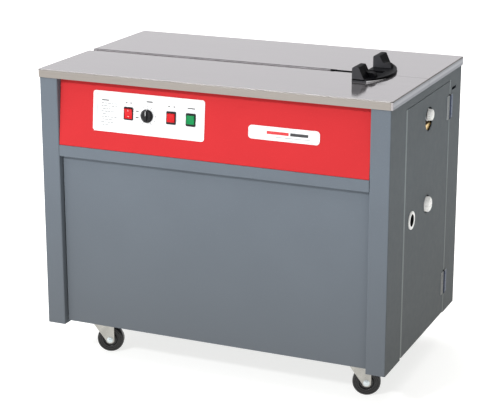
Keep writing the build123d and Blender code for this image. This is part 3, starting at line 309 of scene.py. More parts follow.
finish = {
    "painted_grey": powder_coat("grey_powder_coat", (0.140, 0.162, 0.188)),
    "painted_red": powder_coat("red_powder_coat", (0.530, 0.032, 0.036), 0.42),
    "frame_black": powder_coat("black_powder_coat", (0.030, 0.030, 0.033), 0.45),
    "stainless": brushed_metal(
        "brushed_stainless", (0.50, 0.474, 0.490), 0.10, X_AXIS, grain=0.000006, metallic=0.92
    ),
    "zinc_plate": plated("zinc_plate", (0.43, 0.42, 0.39), 0.30),
    "yellow_zinc": plated("yellow_zinc", (0.72, 0.50, 0.20), 0.30),
    "machined_steel": brushed_metal(
        "ground_steel", (0.42, 0.42, 0.43), 0.26, Y_AXIS, grain=0.00002, streak=0.08
    ),
    "cast_aluminium": moulded(
        "cast_aluminium", (0.50, 0.51, 0.52), 0.45, 500.0, 0.0001, Metallic=1.0
    ),
    "cast_iron": moulded("cast_iron", (0.16, 0.165, 0.17), 0.55, 400.0, 0.0001, Metallic=0.8),
    "black_plastic": moulded(
        "black_plastic", (0.010, 0.010, 0.012), 0.30, Specular_IOR_Level=0.32
    ),
    "white_plastic": moulded("white_nylon", (0.93, 0.93, 0.90), 0.28, 300.0, 0.00003),
    "wheel_rubber": moulded("wheel_rubber", (0.008, 0.0075, 0.0075), 0.24, 500.0, 0.00003),
    "strap_plastic": moulded("strap_plastic", (0.72, 0.70, 0.58), 0.28, 250.0, 0.00005),
    "label_white": moulded("label_film", (0.77, 0.775, 0.78), 0.30, 1200.0, 0.00001),
    "red_lens": moulded(
        "red_lens", (0.56, 0.006, 0.010), 0.16, 200.0, 0.00001, Specular_IOR_Level=0.3
    ),
    "green_lens": moulded(
        "green_lens", (0.002, 0.22, 0.060), 0.16, 200.0, 0.00001, Specular_IOR_Level=0.3
    ),
}
grey_ink = moulded("grey_ink", (0.20, 0.21, 0.22), 0.5)
black_ink = moulded("black_ink", (0.035, 0.035, 0.038), 0.45)
red_ink = moulded("red_ink", (0.62, 0.03, 0.035), 0.45)
pale_ink = moulded("pale_ink", (0.62, 0.63, 0.64), 0.5)
# painted shade: a darker, warmer copy of the brushed stainless for the table's front and back folds
front_fold_painted_shade = brushed_metal("folded_front_edge_painted_shade", (0.355, 0.325, 0.30), 0.30, X_AXIS)
# painted shade: a darker copy of the stainless for the end folds, with a painted highlight for the bead
end_fold_painted_shade_and_bead = beaded_fold("folded_end_edge_painted_shade", (0.15, 0.158, 0.185), (0.26, 0.27, 0.30))
# painted shade along the wall's top edge and near the mouth
channel_wall = shaded_wall("channel_wall", (0.42, 0.40, 0.41), (0.10, 0.097, 0.10))
# painted shade on the mouth's wall and on the slide table under it
mouth_painted_shade = moulded("mouth_painted_shade", MOUTH_SHADE_BLACK, 0.45, Specular_IOR_Level=0.02)
# painted shadow along the channel floor's front edge, under the front plate
channel_floor = edged_floor("channel_floor", (0.50, 0.475, 0.49), (0.12, 0.115, 0.12))
bright_zinc = plated("bright_zinc", (0.68, 0.74, 0.76), 0.18)
# painted shade: near-black for the insides of recesses, grooves and holes
recess_painted_shade = moulded("recess_painted_shade", (0.010, 0.010, 0.011), 0.6, Specular_IOR_Level=0.1)
deep_black = moulded("deep_black", (0.005, 0.005, 0.006), 0.30, Specular_IOR_Level=0.01)
# painted light: a lighter copy of the guide's black for its faces towards the front
guide_face_painted_light = moulded("guide_face_painted_light", (0.036, 0.036, 0.040), 0.34, Specular_IOR_Level=0.3)
# painted highlight: pale grey on the guide's slanted fin edges
guide_edge_painted_highlight = moulded("guide_edge_painted_highlight", (0.17, 0.17, 0.175), 0.4)
# painted highlight: a pale strip along the foot of the guide's arc
arc_painted_highlight = moulded("arc_painted_highlight", (0.70, 0.70, 0.70), 0.4)
# painted shade: a darker copy of the stainless on the table's rounded rims, which dulls their shine
rolled_rim_painted_shade = brushed_metal("rolled_rim_painted_shade", (0.21, 0.20, 0.195), 0.45, X_AXIS)
galvanised_sheet = galvanised("galvanised_sheet", (0.40, 0.41, 0.42))
# painted shade: a darker, greener copy of the grey coat for the faces towards +X
side_painted_shade_coat = powder_coat("side_powder_coat_painted_shade", (0.128, 0.144, 0.155))
# painted highlight: a lighter copy of the grey coat for the side door's front fold and top and the strip's fold
fold_painted_highlight = powder_coat("fold_painted_highlight", (0.30, 0.33, 0.34))
# the hinges: lit and shaded copies of the grey coat, with painted light on the leaves, a painted highlight on
# their rims and painted shade on the barrels
door_leaf_painted_light = powder_coat("door_leaf_lit_paint", (0.27, 0.285, 0.29))
frame_leaf_painted_light = powder_coat("frame_leaf_lit_paint", (0.21, 0.24, 0.31))
leaf_rim_painted_highlight = powder_coat("leaf_rim_highlight_paint", (0.52, 0.54, 0.56))
barrel_painted_shade = powder_coat("hinge_barrel_shade_paint", (0.06, 0.075, 0.12))

for name, node in nodes.items():
    for place in node.material_slots:
        place.material = finish[slot_of[name]]


def recolour(node, material, chosen):
    """Gives a CAD node's faces another finish where chosen(centre in mm, normal) is true."""
    mesh = nodes[node].data
    mesh.materials.append(material)
    for face in mesh.polygons:
        if chosen(face.center / MM, face.normal):
            face.material_index = len(mesh.materials) - 1


# ---------------------------------------------------------------- mesh tools
FLAT = {X_AXIS: (1, 2), Y_AXIS: (0, 2), Z_AXIS: (0, 1)}


class Solid:
    """Builds one piece in millimetres. New faces take the finish that is in use."""

    def __init__(self, *materials):
        self.mesh = bmesh.new()
        self.materials = materials
        self.index = 0

    def point(self, axis, along, first, second):
        place = [0.0, 0.0, 0.0]
        place[axis] = along
        place[FLAT[axis][0]], place[FLAT[axis][1]] = first, second
        return self.mesh.verts.new(place)

    def close(self, verts):
        self.mesh.faces.new(verts).material_index = self.index

    def bridge(self, first, second):
        """Walls between two rings; a ring of one point is a tip."""
        for i in range(max(len(first), len(second))):
            corners = [first[i % len(first)], first[(i + 1) % len(first)]]
            corners += [second[(i + 1) % len(second)], second[i % len(second)]]
            self.close(list(dict.fromkeys(corners)))

    def turned(self, axis, centre, profile, steps=64, hollow=False, ripple=None):
        """Turns (along, radius) points round an axis through centre, two coordinates."""
        rings = []
        for along, radius in profile:
            ring = []
            for i in range(steps if radius > 0 else 1):
                angle = 2 * math.pi * i / steps
                reach = ripple(angle, radius) if ripple else radius
                first = centre[0] + reach * math.cos(angle)
                second = centre[1] + reach * math.sin(angle)
                ring.append(self.point(axis, along, first, second))
            rings.append(ring)
        for first, second in zip(rings, rings[1:] + (rings[:1] if hollow else [])):
            self.bridge(first, second)
        if not hollow:
            for ring in (rings[0], rings[-1]):
                if len(ring) > 1:
                    self.close(ring)

    def rod(self, axis, centre, start, end, radius, steps=32):
        """A plain round bar between two places along an axis."""
        profile = [(start, 0.0), (start, radius), (end, radius), (end, 0.0)]
        self.turned(axis, centre, profile, steps)

    def prism(self, axis, outline, low, high, edge=0.0, segments=2):
        """An outline between two places along an axis, with edges rounded by edge."""
        floor = [self.point(axis, low, *corner) for corner in outline]
        roof = [self.point(axis, high, *corner) for corner in outline]
        start = len(self.mesh.faces)
        self.bridge(floor, roof)
        self.close(floor)
        self.close(roof)
        if edge:
            self.mesh.faces.ensure_lookup_table()
            edges = {rim for face in self.mesh.faces[start:] for rim in face.edges}
            sharp = [rim for rim in edges if rim.calc_face_angle(0.0) > 0.5]
            bmesh.ops.bevel(
                self.mesh, geom=sharp, offset=edge, segments=segments, profile=0.5,
                affect="EDGES", clamp_overlap=True,
            )

    def band(self, outer, inner, low, high):
        """A flat ring along Z between two outlines with as many corners as each other."""
        rings = []
        for outline, up in ((outer, low), (outer, high), (inner, high), (inner, low)):
            rings.append([self.point(Z_AXIS, up, *corner) for corner in outline])
        for first, second in zip(rings, rings[1:] + rings[:1]):
            self.bridge(first, second)

    def bar(self, low, high, edge=0.0):
        outline = [(low[0], low[1]), (high[0], low[1]), (high[0], high[1]), (low[0], high[1])]
        self.prism(Z_AXIS, outline, low[2], high[2], edge)

    def pan_screw(self, axis, centre, seat, height, radius):
        """A pan-head screw with a cross recess in the finish that comes after its own."""
        self.turned(
            axis, centre,
            [(seat, radius), (seat + 0.35 * height, radius),
             (seat + 0.75 * height, 0.8 * radius), (seat + height, 0.5 * radius)],
            24,
        )
        self.index += 1
        for long, wide in ((0.42, 0.1), (0.1, 0.42)):
            self.prism(
                axis,
                [(centre[0] + a * long * radius, centre[1] + b * wide * radius)
                 for a, b in ((-1, -1), (1, -1), (1, 1), (-1, 1))],
                seat + 0.6 * height, seat + height + 0.02,
            )
        self.index -= 1

    def move(self, matrix):
        self.mesh.transform(matrix)

    def finish(self, name, like, replaced=(), body=None, slot=None, crease=32):
        """Makes the object, with the body of the CAD node like if none is given; slot is not used."""
        work = self.mesh
        bmesh.ops.recalc_face_normals(work, faces=work.faces)
        bmesh.ops.scale(work, vec=(MM, MM, MM), verts=work.verts)
        mesh = bpy.data.meshes.new(name)
        work.to_mesh(mesh)
        work.free()
        for material in self.materials:
            mesh.materials.append(material)
        mesh.shade_smooth()
        mesh.set_sharp_from_angle(angle=math.radians(crease))
        piece = bpy.data.objects.new(name, mesh)
        scene.collection.objects.link(piece)
        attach(piece, body or body_of[like])
        if replaced:
            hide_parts(*replaced)


CORNER_STEPS = 5


def rounded(width, height, corner, centre=(0.0, 0.0)):
    """The outline of a rectangle with round corners."""
    outline = []
    for quarter, (right, up) in enumerate(((1, 1), (-1, 1), (-1, -1), (1, -1))):
        middle_x = centre[0] + right * (width / 2 - corner)
        middle_y = centre[1] + up * (height / 2 - corner)
        for i in range(CORNER_STEPS + 1):
            angle = math.pi / 2 * (quarter + i / CORNER_STEPS)
            across, rise = corner * math.cos(angle), corner * math.sin(angle)
            outline.append((middle_x + across, middle_y + rise))
    return outline


# The control panel's own frame: X along it, Y up its slope, Z out of it.
dial_joint = joints["dial_turn"]
panel_out = Vector(dial_joint["axis"])
panel_up = Vector((0.0, panel_out.z, -panel_out.y))
dial_place = Vector(dial_joint["pos_m"]) / MM
panel = Matrix.Translation(dial_place) @ Matrix(
    ((1, 0, 0), (0, panel_up.y, panel_out.y), (0, panel_up.z, panel_out.z))
).to_4x4()
DIAL = (-161.0, 93.0)  # from the panel's middle and from its sill
BUTTONS_UP = 94.5


def on_panel(x, up):
    """Turns a place from the panel's middle and sill into the frame of the dial."""
    return (x - DIAL[0], up - DIAL[1])


# ---------------------------------------------------------------- strap guide
STRAP_Y = -14.0
ARC_RADIUS, GUIDE_HALF, FIN_INNER, WING_OUTER = 168.0, 100.0, 50.0, 68.0
SLOT_END, SLOT_HALF, SLOT_FLOOR = 338.0, 10.0, table_top - 2.0
POST_X, POST_HALF = (298.0, 333.0), 48.0
guide_low, guide_high = limits("strap_guide")
GUIDE_X, ARC_X = guide_low.x, guide_high.x - ARC_RADIUS
GUIDE_FOOT, PLATE_TOP = table_top - 10.0, table_top + 6.0
ARC_START = math.asin(GUIDE_HALF / ARC_RADIUS)
LIT_FACE_FINISH, ARC_HIGHLIGHT_FINISH, EDGE_HIGHLIGHT_FINISH = 1, 2, 3


def on_arc(angle, radius):
    """A place in plan on a circle round the centre of the guide's right end."""
    return (ARC_X + radius * math.cos(angle), STRAP_Y + radius * math.sin(angle))


guide_outline = [(GUIDE_X, STRAP_Y - GUIDE_HALF)]
guide_outline += [on_arc(ARC_START * (i / 16 - 1), ARC_RADIUS) for i in range(33)]
guide_outline.append((GUIDE_X, STRAP_Y + GUIDE_HALF))
slot_outline = [(GUIDE_X, STRAP_Y + SLOT_HALF), (SLOT_END, STRAP_Y + SLOT_HALF),
                (SLOT_END, STRAP_Y - SLOT_HALF), (GUIDE_X, STRAP_Y - SLOT_HALF)]
solid = Solid(deep_black, guide_face_painted_light, arc_painted_highlight, guide_edge_painted_highlight)
solid.prism(Z_AXIS, guide_outline, GUIDE_FOOT, SLOT_FLOOR)
solid.prism(Z_AXIS, guide_outline + slot_outline, SLOT_FLOOR, PLATE_TOP, 1.3, 3)
solid.bar(
    (POST_X[0], STRAP_Y - POST_HALF, guide_low.z),
    (POST_X[1], STRAP_Y + POST_HALF, GUIDE_FOOT), 1.0,
)
# the fins' side views, from the guide's left end and foot
FIN_FOOT = 13.0
fin = [(0.0, 39.0), (0.7, 41.6), (2.6, 43.5), (4.6, 44.0), (14.4, 44.0), (16.4, 43.2), (17.6, 41.2),
       (26.0, 22.6), (28.2, 18.6), (31.0, 16.0), (34.0, 14.6), (35.0, FIN_FOOT)]
wing = fin[:7] + [(22.6, 31.4), (24.2, 29.0), (26.6, 27.6), (30.0, 27.0), (38.0, 26.6),
                  (41.6, 25.6), (44.4, 23.0), (45.6, 19.0), (45.9, FIN_FOOT)]
for side in (-1, 1):
    for profile, near, far in ((wing, FIN_INNER, WING_OUTER), (fin, WING_OUTER, GUIDE_HALF)):
        outline = [(GUIDE_X + x, GUIDE_FOOT + z) for x, z in [(0.0, FIN_FOOT)] + profile]
        ends = sorted((STRAP_Y + side * near, STRAP_Y + side * far))
        solid.prism(Y_AXIS, outline, ends[0], ends[1], 1.0, 3)
solid.mesh.normal_update()
# the faces towards the front take a lighter black as painted light, and the slanted edges a painted highlight
for face in solid.mesh.faces:
    centre = face.calc_center_median()
    off_strap = centre.y - STRAP_Y
    at_front = off_strap < 2.0 - GUIDE_HALF or abs(off_strap - FIN_INNER) < 2.0
    if at_front and centre.z > SLOT_FLOOR and abs(face.normal.y) > 0.6:
        face.material_index = LIT_FACE_FINISH
    elif centre.z > PLATE_TOP + 1.0 and face.normal.y < -0.25 and face.normal.x > 0.15:
        face.material_index = EDGE_HIGHLIGHT_FINISH
# a painted highlight along the front of the arc: a thin pale strip which tapers away to the right
ARC_HIGHLIGHT_STEPS, ARC_HIGHLIGHT_SWEEP, ARC_HIGHLIGHT_GAP = 16, 0.62, 0.25
ARC_HIGHLIGHT_FLOOR, ARC_HIGHLIGHT_LOW, ARC_HIGHLIGHT_RISE = 0.1, 0.4, 3.4
solid.index = ARC_HIGHLIGHT_FINISH
lower, upper = [], []
for i in range(ARC_HIGHLIGHT_STEPS + 1):
    part = i / ARC_HIGHLIGHT_STEPS
    place = on_arc(-ARC_START * (1 - ARC_HIGHLIGHT_SWEEP * part), ARC_RADIUS + ARC_HIGHLIGHT_GAP)
    lower.append(solid.point(Z_AXIS, table_top + ARC_HIGHLIGHT_FLOOR, *place))
    upper.append(solid.point(Z_AXIS, table_top + ARC_HIGHLIGHT_LOW + ARC_HIGHLIGHT_RISE * (1 - part), *place))
for i in range(ARC_HIGHLIGHT_STEPS):
    solid.close([lower[i], lower[i + 1], upper[i + 1], upper[i]])
solid.finish("guide", "strap_guide", ["strap_guide"], crease=35)


# ---------------------------------------------------------------- control panel
def button(node, material):
    """A push cap with a rounded rim and a shallow dish."""
    low, high = limits(node)
    width = high.x - low.x
    solid = Solid(finish[material])
    centre = on_panel((low.x + high.x) / 2, BUTTONS_UP)
    profile = ((-8.7, 0.0), (4.2, 0.0), (5.0, 0.35), (5.3, 1.2), (5.25, 2.2), (4.9, 3.4))
    rings = []
    for out, inset in profile:
        across, corner = width - 2 * inset, max(0.6, 1.6 - 0.3 * inset)
        outline = rounded(across, across + 0.6, corner, centre)
        rings.append([solid.point(Z_AXIS, out, *place) for place in outline])
    for first, second in zip(rings, rings[1:]):
        solid.bridge(first, second)
    solid.close(rings[0])
    solid.close(rings[-1])
    solid.move(panel)
    solid.finish(node + "_cap", node, [node], crease=50)


button("red_button", "red_lens")
button("green_button", "green_lens")

# the rocker, tilted to its off side, with its on and off marks
low, high = limits("rocker_switch")
pivot = Vector(joints["main_switch_rock"]["pos_m"]) / MM
ROCKER_HALF, ROCKER_DIP, ROCKER_RISE, ROCKER_KEEL, ROCKER_TILT = 11.8, 2.2, 4.2, 8.0, 9.0
rocker_width = high.x - low.x - 0.4
solid = Solid(finish["red_lens"], finish["label_white"])
outline = [(-ROCKER_HALF, 0.0), (0.0, -ROCKER_KEEL), (ROCKER_HALF, 0.0)]
for i in range(17):
    t = 1 - i / 8
    outline.append((t * ROCKER_HALF, ROCKER_DIP + (ROCKER_RISE - ROCKER_DIP) * t * t))
solid.prism(X_AXIS, outline, -rocker_width / 2, rocker_width / 2, 0.35)
solid.index = 1
solid.prism(X_AXIS, [(6.0, 2.4), (9.0, 2.9), (9.0, 3.4), (6.0, 2.8)], -0.5, 0.5)
solid.turned(
    Z_AXIS, (0.0, -7.2), [(2.3, 1.9), (3.1, 1.9), (3.1, 1.2), (2.3, 1.2)], 28, hollow=True
)
solid.move(Matrix.Rotation(math.radians(ROCKER_TILT), 4, "X"))
solid.move(Matrix.Translation(pivot) @ panel.to_3x3().to_4x4())
solid.finish("rocker", "rocker_switch", ["rocker_switch"], crease=50)

# the dial: a fluted knob with a pointer bar and a white index line
solid = Solid(finish["black_plastic"], finish["label_white"], finish["machined_steel"])
solid.turned(
    Z_AXIS, (0.0, 0.0),
    [(1.4, 0.0), (1.4, 15.6), (1.9, 16.1), (3.3, 16.1), (4.0, 15.2), (4.2, 0.0)], 72,
)


def fluted(angle, radius):
    """Shallow flutes round the dial's grip, and none on its face."""
    return radius - 0.75 * max(0.0, math.cos(18 * angle)) ** 2 if radius > 11.0 else radius


solid.turned(
    Z_AXIS, (0.0, 0.0),
    [(4.0, 0.0), (4.0, 13.4), (7.4, 12.9), (8.2, 12.2), (8.4, 11.2), (8.1, 10.6), (8.1, 0.0)],
    144, ripple=fluted,
)
solid.prism(Z_AXIS, rounded(6.0, 26.4, 2.2), 7.6, 11.1, 0.7)
solid.index = 1
solid.bar((-0.6, 1.0, 11.0), (0.6, 12.4, 11.18))
solid.bar((-0.6, 13.6, 4.0), (0.6, 15.6, 4.26))
solid.index = 2
solid.rod(Z_AXIS, (0.0, 0.0), -13.0, 1.6, 3.0, 24)
solid.move(panel)
solid.finish("dial", "dial_knob", ["dial_knob"])

# printed marks on the label: generic bars, ticks and dial numbers, with no words
FACE, INK, SUNK = 0.8, 0.06, 0.02  # the label's face, and how far the print is over and in it
TICK_RADIUS, NUMBER_RADIUS, NUMBER_HEIGHT = 18.6, 22.6, 4.4
DIAL_ANGLES = [math.radians(-150 + 30 * i) for i in range(11)]


def printed(solid, centre, width, height, index=0):
    solid.index = index
    x, up = on_panel(*centre)
    solid.bar(
        (x - width / 2, up - height / 2, FACE - SUNK),
        (x + width / 2, up + height / 2, FACE + INK),
    )


solid = Solid(pale_ink, grey_ink, black_ink)
printed(solid, (-294.0, 94.5), 6.5, 84.0)
printed(solid, (-272.5, 121.5), 19.0, 2.6, 2)
# rows of dashes stand in for the small text; the even rows under the first are indented
TEXT_TOP, LINE_PITCH, TEXT_LEFT, INDENT, WORD_GAP = 114.0, 6.5, -283.0, 3.0, 2.2
WORDS = (
    (7, 5, 9, 4, 8), (5, 9, 6, 8, 5), (8, 4, 7), (6, 8, 5, 9), (9, 5),
    (7, 6, 5, 8, 6), (5, 8, 9), (8, 5, 6, 7), (6, 9),
)
for row, words in enumerate(WORDS):
    up = TEXT_TOP - LINE_PITCH * row
    start = TEXT_LEFT + (INDENT if row in (2, 4, 6, 8) else 0.0)
    for length in words:
        printed(solid, (start + length / 2, up), length, 1.5, 1)
        start += length + WORD_GAP
# short bars over the rocker, the dial and the buttons, and two between rocker and dial
CAPTIONS = (
    ((-216.0, 120.0), 4.0), ((-204.0, 120.0), 4.0), ((-187.0, 102.0), 7.0),
    ((-187.0, 87.0), 7.0), ((-104.0, 121.0), 4.5), ((-90.0, 121.0), 4.5),
    ((-46.0, 121.0), 19.0), ((-155.0, 127.0), 16.0),
)
for centre, width in CAPTIONS:
    printed(solid, centre, width, 2.4, 2)
solid.index = 2
for i, angle in enumerate(DIAL_ANGLES):
    half = 1.5 if i % 5 == 0 else 1.0
    x, up = TICK_RADIUS * math.sin(angle), TICK_RADIUS * math.cos(angle)
    outline = []
    for across, along in ((-0.3, -half), (0.3, -half), (0.3, half), (-0.3, half)):
        outline.append(
            (x + across * math.cos(angle) + along * math.sin(angle),
             up - across * math.sin(angle) + along * math.cos(angle))
        )
    solid.prism(Z_AXIS, outline, FACE - SUNK, FACE + INK)
solid.move(panel)
solid.finish("label_print", "label_plate", crease=30)


def number(text, centre, height):
    """A printed number on the label, as a mesh."""
    curve = bpy.data.curves.new("number_" + text, "FONT")
    curve.body = text
    curve.size = height * MM
    curve.align_x, curve.align_y = "CENTER", "CENTER"
    curve.extrude = 0.03 * MM
    shape = bpy.data.objects.new("number_" + text, curve)
    mesh = bpy.data.meshes.new_from_object(shape)
    bpy.data.objects.remove(shape)
    x, up = on_panel(*centre)
    mesh.transform(Matrix.Translation((x * MM, up * MM, (FACE + SUNK) * MM)))
    to_metres = panel.copy()
    to_metres.translation *= MM
    mesh.transform(to_metres)
    mesh.materials.clear()
    mesh.materials.append(black_ink)
    piece = bpy.data.objects.new("dial_number_" + text, mesh)
    scene.collection.objects.link(piece)
    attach(piece, body_of["label_plate"])


for i, angle in enumerate(DIAL_ANGLES):
    x, up = NUMBER_RADIUS * math.sin(angle), NUMBER_RADIUS * math.cos(angle)
    number(str(i), (DIAL[0] + x, DIAL[1] + up), NUMBER_HEIGHT)

# the name plate has two plain bars and a thin line in place of a name
solid = Solid(red_ink, grey_ink, black_ink)
PLATE_X, PLATE_UP = on_panel(188.0, 82.5)
PRINT_FOOT, PRINT_TOP, RIM_TOP = 1.17, 1.25, 1.24


def plate_print(low, high, index=0):
    """A printed bar, its corners counted from the middle of the name plate."""
    solid.index = index
    solid.bar(
        (PLATE_X + low[0], PLATE_UP + low[1], PRINT_FOOT),
        (PLATE_X + high[0], PLATE_UP + high[1], PRINT_TOP),
    )


plate_print((-42.0, -1.5), (12.0, 5.5))
plate_print((16.0, -1.5), (60.0, 5.5), 2)
plate_print((-20.0, -7.6), (66.0, -6.6), 1)
outer, inner = (
    rounded(width, height, corner, (PLATE_X, PLATE_UP))
    for width, height, corner in ((171.0, 27.0, 7.2), (170.0, 26.0, 6.7))
)
solid.band(outer, inner, PRINT_FOOT, RIM_TOP)
solid.move(panel)
solid.finish("name_plate_print", "name_plate", crease=30)


# ---------------------------------------------------------------- casters
def caster_frame(place):
    """A caster's own frame: its king pin at the origin and its wheel trailing along X."""
    pivot = Vector(joints["caster_swivel_" + place]["pos_m"]) / MM
    axle = Vector(joints["caster_roll_" + place]["axis"])
    turn = math.atan2(-axle.x, axle.y)
    return Matrix.Translation((pivot.x, pivot.y, 0.0)) @ Matrix.Rotation(turn, 4, "Z")


TRAIL = 26.0  # how far a wheel's axle is behind its king pin
CHEEK_INNER, CHEEK_OUTER = 14.0, 16.5
WASHER_RADIUS, WASHER_FACE, NUT_CORNER, NUT_FACE = 7.6, 0.9, 6.6, 3.4


def wheel(place):
    """A caster wheel with grooved sides, a hub and a rounded tread."""
    node = "caster_wheel_" + place
    low, high = limits(node)
    radius = (high.z - low.z) / 2
    side = [
        (13.0, 4.2), (13.0, 8.0), (12.4, 8.8), (9.4, 9.4), (8.8, 10.2), (8.8, 16.6), (9.4, 17.4),
        (11.0, 18.0), (11.6, 18.8), (11.6, 21.6), (10.4, 22.0), (10.4, 23.0), (11.6, 23.4),
        (11.9, 26.6), (10.6, 27.0), (10.6, 28.0), (11.8, 28.4), (11.2, 31.0), (9.6, 32.9),
        (7.4, radius - 0.3), (4.0, radius),
    ]
    profile = side + [(-along, reach) for along, reach in reversed(side)]
    solid = Solid(finish["wheel_rubber"])
    solid.turned(Y_AXIS, (TRAIL, (low.z + high.z) / 2), profile, 80, hollow=True)
    solid.move(caster_frame(place))
    solid.finish("wheel_" + place, node, [node], crease=40)


def fork(place):
    """A pressed caster fork with its ball race, axle and nuts."""
    node = "caster_fork_" + place
    top = limits(node)[1].z
    wheel_low, wheel_high = limits("caster_wheel_" + place)
    axle_z = (wheel_low.z + wheel_high.z) / 2
    end = TRAIL + 11.0
    solid = Solid(finish["zinc_plate"], bright_zinc)
    solid.turned(
        Z_AXIS, (0.0, 0.0),
        [(top - 3.0, 5.1), (top - 3.0, 18.4), (top - 2.2, 19.6), (top - 1.0, 19.9),
         (top, 19.2), (top, 5.1)],
        64, hollow=True,
    )
    solid.bar((0.0, -CHEEK_OUTER, top - 3.0), (end, CHEEK_OUTER, top), 0.8)
    cheek = [
        (-14.0, top), (-14.0, top - 6.5), (-12.6, top - 9.5), (TRAIL - 10.5, axle_z - 1.5),
        (TRAIL - 8.0, axle_z - 6.8), (TRAIL - 3.5, axle_z - 9.6), (TRAIL + 2.5, axle_z - 9.9),
        (TRAIL + 7.5, axle_z - 8.2), (TRAIL + 10.6, axle_z - 4.2), (end, axle_z + 1.0), (end, top),
    ]
    for side in (-1, 1):
        inner, outer = side * CHEEK_INNER, side * CHEEK_OUTER
        solid.index = 0
        solid.prism(Y_AXIS, cheek, min(inner, outer), max(inner, outer), 0.7)
        solid.index = 1
        seat = outer + side * WASHER_FACE
        washer = [(outer, 0.0), (outer, WASHER_RADIUS), (outer + side * 0.7, WASHER_RADIUS),
                  (seat, WASHER_RADIUS - 0.4), (seat, 0.0)]
        solid.turned(Y_AXIS, (TRAIL, axle_z), washer, 40)
        nut = []
        for i in range(6):
            angle = math.pi * i / 3
            across, rise = NUT_CORNER * math.cos(angle), NUT_CORNER * math.sin(angle)
            nut.append((TRAIL + across, axle_z + rise))
        solid.prism(Y_AXIS, nut, *sorted((seat, outer + side * NUT_FACE)), 0.5)
    axle = [(-20.5, 0.0), (-20.5, 3.0), (-20.0, 3.9), (20.0, 3.9), (20.5, 3.0), (20.5, 0.0)]
    solid.turned(Y_AXIS, (TRAIL, axle_z), axle, 32)
    solid.move(caster_frame(place))
    solid.finish("fork_" + place, node, [node], crease=40)


for place in ("front_left", "front_right", "rear_left", "rear_right"):
    wheel(place)
    fork(place)

# ---------------------------------------------------------------- knobs in the side door
SHAFT_RADIUS = 4.9
low, high = limits("slack_knob")
centre = ((low.y + high.y) / 2, (low.z + high.z) / 2)
knob_back, knob_face, radius = high.x - 24.0, high.x, 19.0


def gripped(angle, reach):
    """Eight finger grooves round the slack knob, and none on its face."""
    return reach - 2.2 * max(0.0, math.cos(8 * angle)) ** 6 if reach > 15.0 else reach


solid = Solid(finish["white_plastic"], finish["machined_steel"])
solid.turned(
    X_AXIS, centre,
    [(knob_back, 0.0), (knob_back, 17.5), (knob_back + 1.2, radius),
     (knob_face - 5.0, radius - 0.3), (knob_face - 2.0, 16.6), (knob_face - 0.7, 13.6),
     (knob_face - 0.2, 9.0), (knob_face, 4.5), (knob_face, 0.0)],
    160, ripple=gripped,
)
solid.index = 1
solid.rod(X_AXIS, centre, low.x, knob_back + 0.5, SHAFT_RADIUS)
solid.finish("slack_knob_grip", "slack_knob", ["slack_knob"], crease=35)

# the tension knob: a lobed cap, a groove behind it in near-black painted shade, and a steel collar and shaft
low, high = limits("tension_knob")
centre = ((low.y + high.y) / 2, (low.z + high.z) / 2)
face = high.x
CAP_DEPTH, GROOVE_DEPTH, COLLAR_DEPTH = 12.0, 13.2, 28.0  # how far behind the face each ends
GROOVE_RADIUS, COLLAR_RADIUS = 12.4, 15.6


def lobed(angle, reach):
    """Six finger grooves round the tension knob, and none on its face."""
    return reach - 0.7 * max(0.0, math.cos(6 * angle)) ** 4 if reach > 12.8 else reach


solid = Solid(finish["white_plastic"], recess_painted_shade, finish["machined_steel"])
solid.turned(
    X_AXIS, centre,
    [(face - CAP_DEPTH, 0.0), (face - CAP_DEPTH, 13.0), (face - 11.2, 13.8), (face - 4.6, 13.7),
     (face - 2.0, 12.6), (face - 0.6, 9.6), (face, 5.0), (face, 0.0)],
    120, ripple=lobed,
)
solid.index = 1
solid.rod(X_AXIS, centre, face - GROOVE_DEPTH, face - CAP_DEPTH + 0.2, GROOVE_RADIUS, 48)
solid.index = 2
solid.turned(
    X_AXIS, centre,
    [(face - COLLAR_DEPTH, 0.0), (face - COLLAR_DEPTH, COLLAR_RADIUS - 1.0),
     (face - COLLAR_DEPTH + 1.0, COLLAR_RADIUS), (face - 14.0, COLLAR_RADIUS),
     (face - 13.0, COLLAR_RADIUS - 0.8), (face - 13.0, 0.0)],
    96,
)
solid.rod(X_AXIS, centre, low.x, face - COLLAR_DEPTH + 0.5, SHAFT_RADIUS)
solid.finish("tension_knob_grip", "tension_knob", ["tension_knob"], crease=35)

# ---------------------------------------------------------------- strap on the reel
TURNS, COIL_BORE = 14, 100.0
low, high = limits("strap_coil")
centre = ((low.y + high.y) / 2, (low.z + high.z) / 2)
outer = (high.z - low.z) / 2
turn = (high.x - low.x) / TURNS
profile = [(low.x, COIL_BORE)]
for i in range(TURNS):
    start, rise = low.x + i * turn, 0.5 * (i % 3)
    profile += [(start + 0.05, outer - 1.6 - rise), (start + 0.6, outer - rise),
                (start + turn - 0.6, outer - rise), (start + turn - 0.05, outer - 1.6 - rise)]
profile.append((high.x, COIL_BORE))
solid = Solid(finish["strap_plastic"])
solid.turned(X_AXIS, centre, profile, 128, hollow=True)
solid.finish("strap_windings", "strap_coil", ["strap_coil"], crease=30)

# ---------------------------------------------------------------- screws
HEAD_HEIGHT, HEAD_RADIUS = 1.4, 4.5
low, high = limits("rear_panel_screws")
lowest, highest = low.z + HEAD_RADIUS, high.z - HEAD_RADIUS
left, right = low.x + HEAD_RADIUS, high.x - HEAD_RADIUS
places = [(x, z) for x in (left, right) for z in (lowest, (low.z + high.z) / 2, highest)]
# the screws' cross recesses take the near-black painted shade
solid = Solid(finish["zinc_plate"], recess_painted_shade)
for place in places + [(0.0, lowest), (0.0, highest)]:
    solid.pan_screw(Y_AXIS, place, low.y, HEAD_HEIGHT, HEAD_RADIUS)
solid.finish("rear_screws", "rear_panel_screws", ["rear_panel_screws"], crease=40)

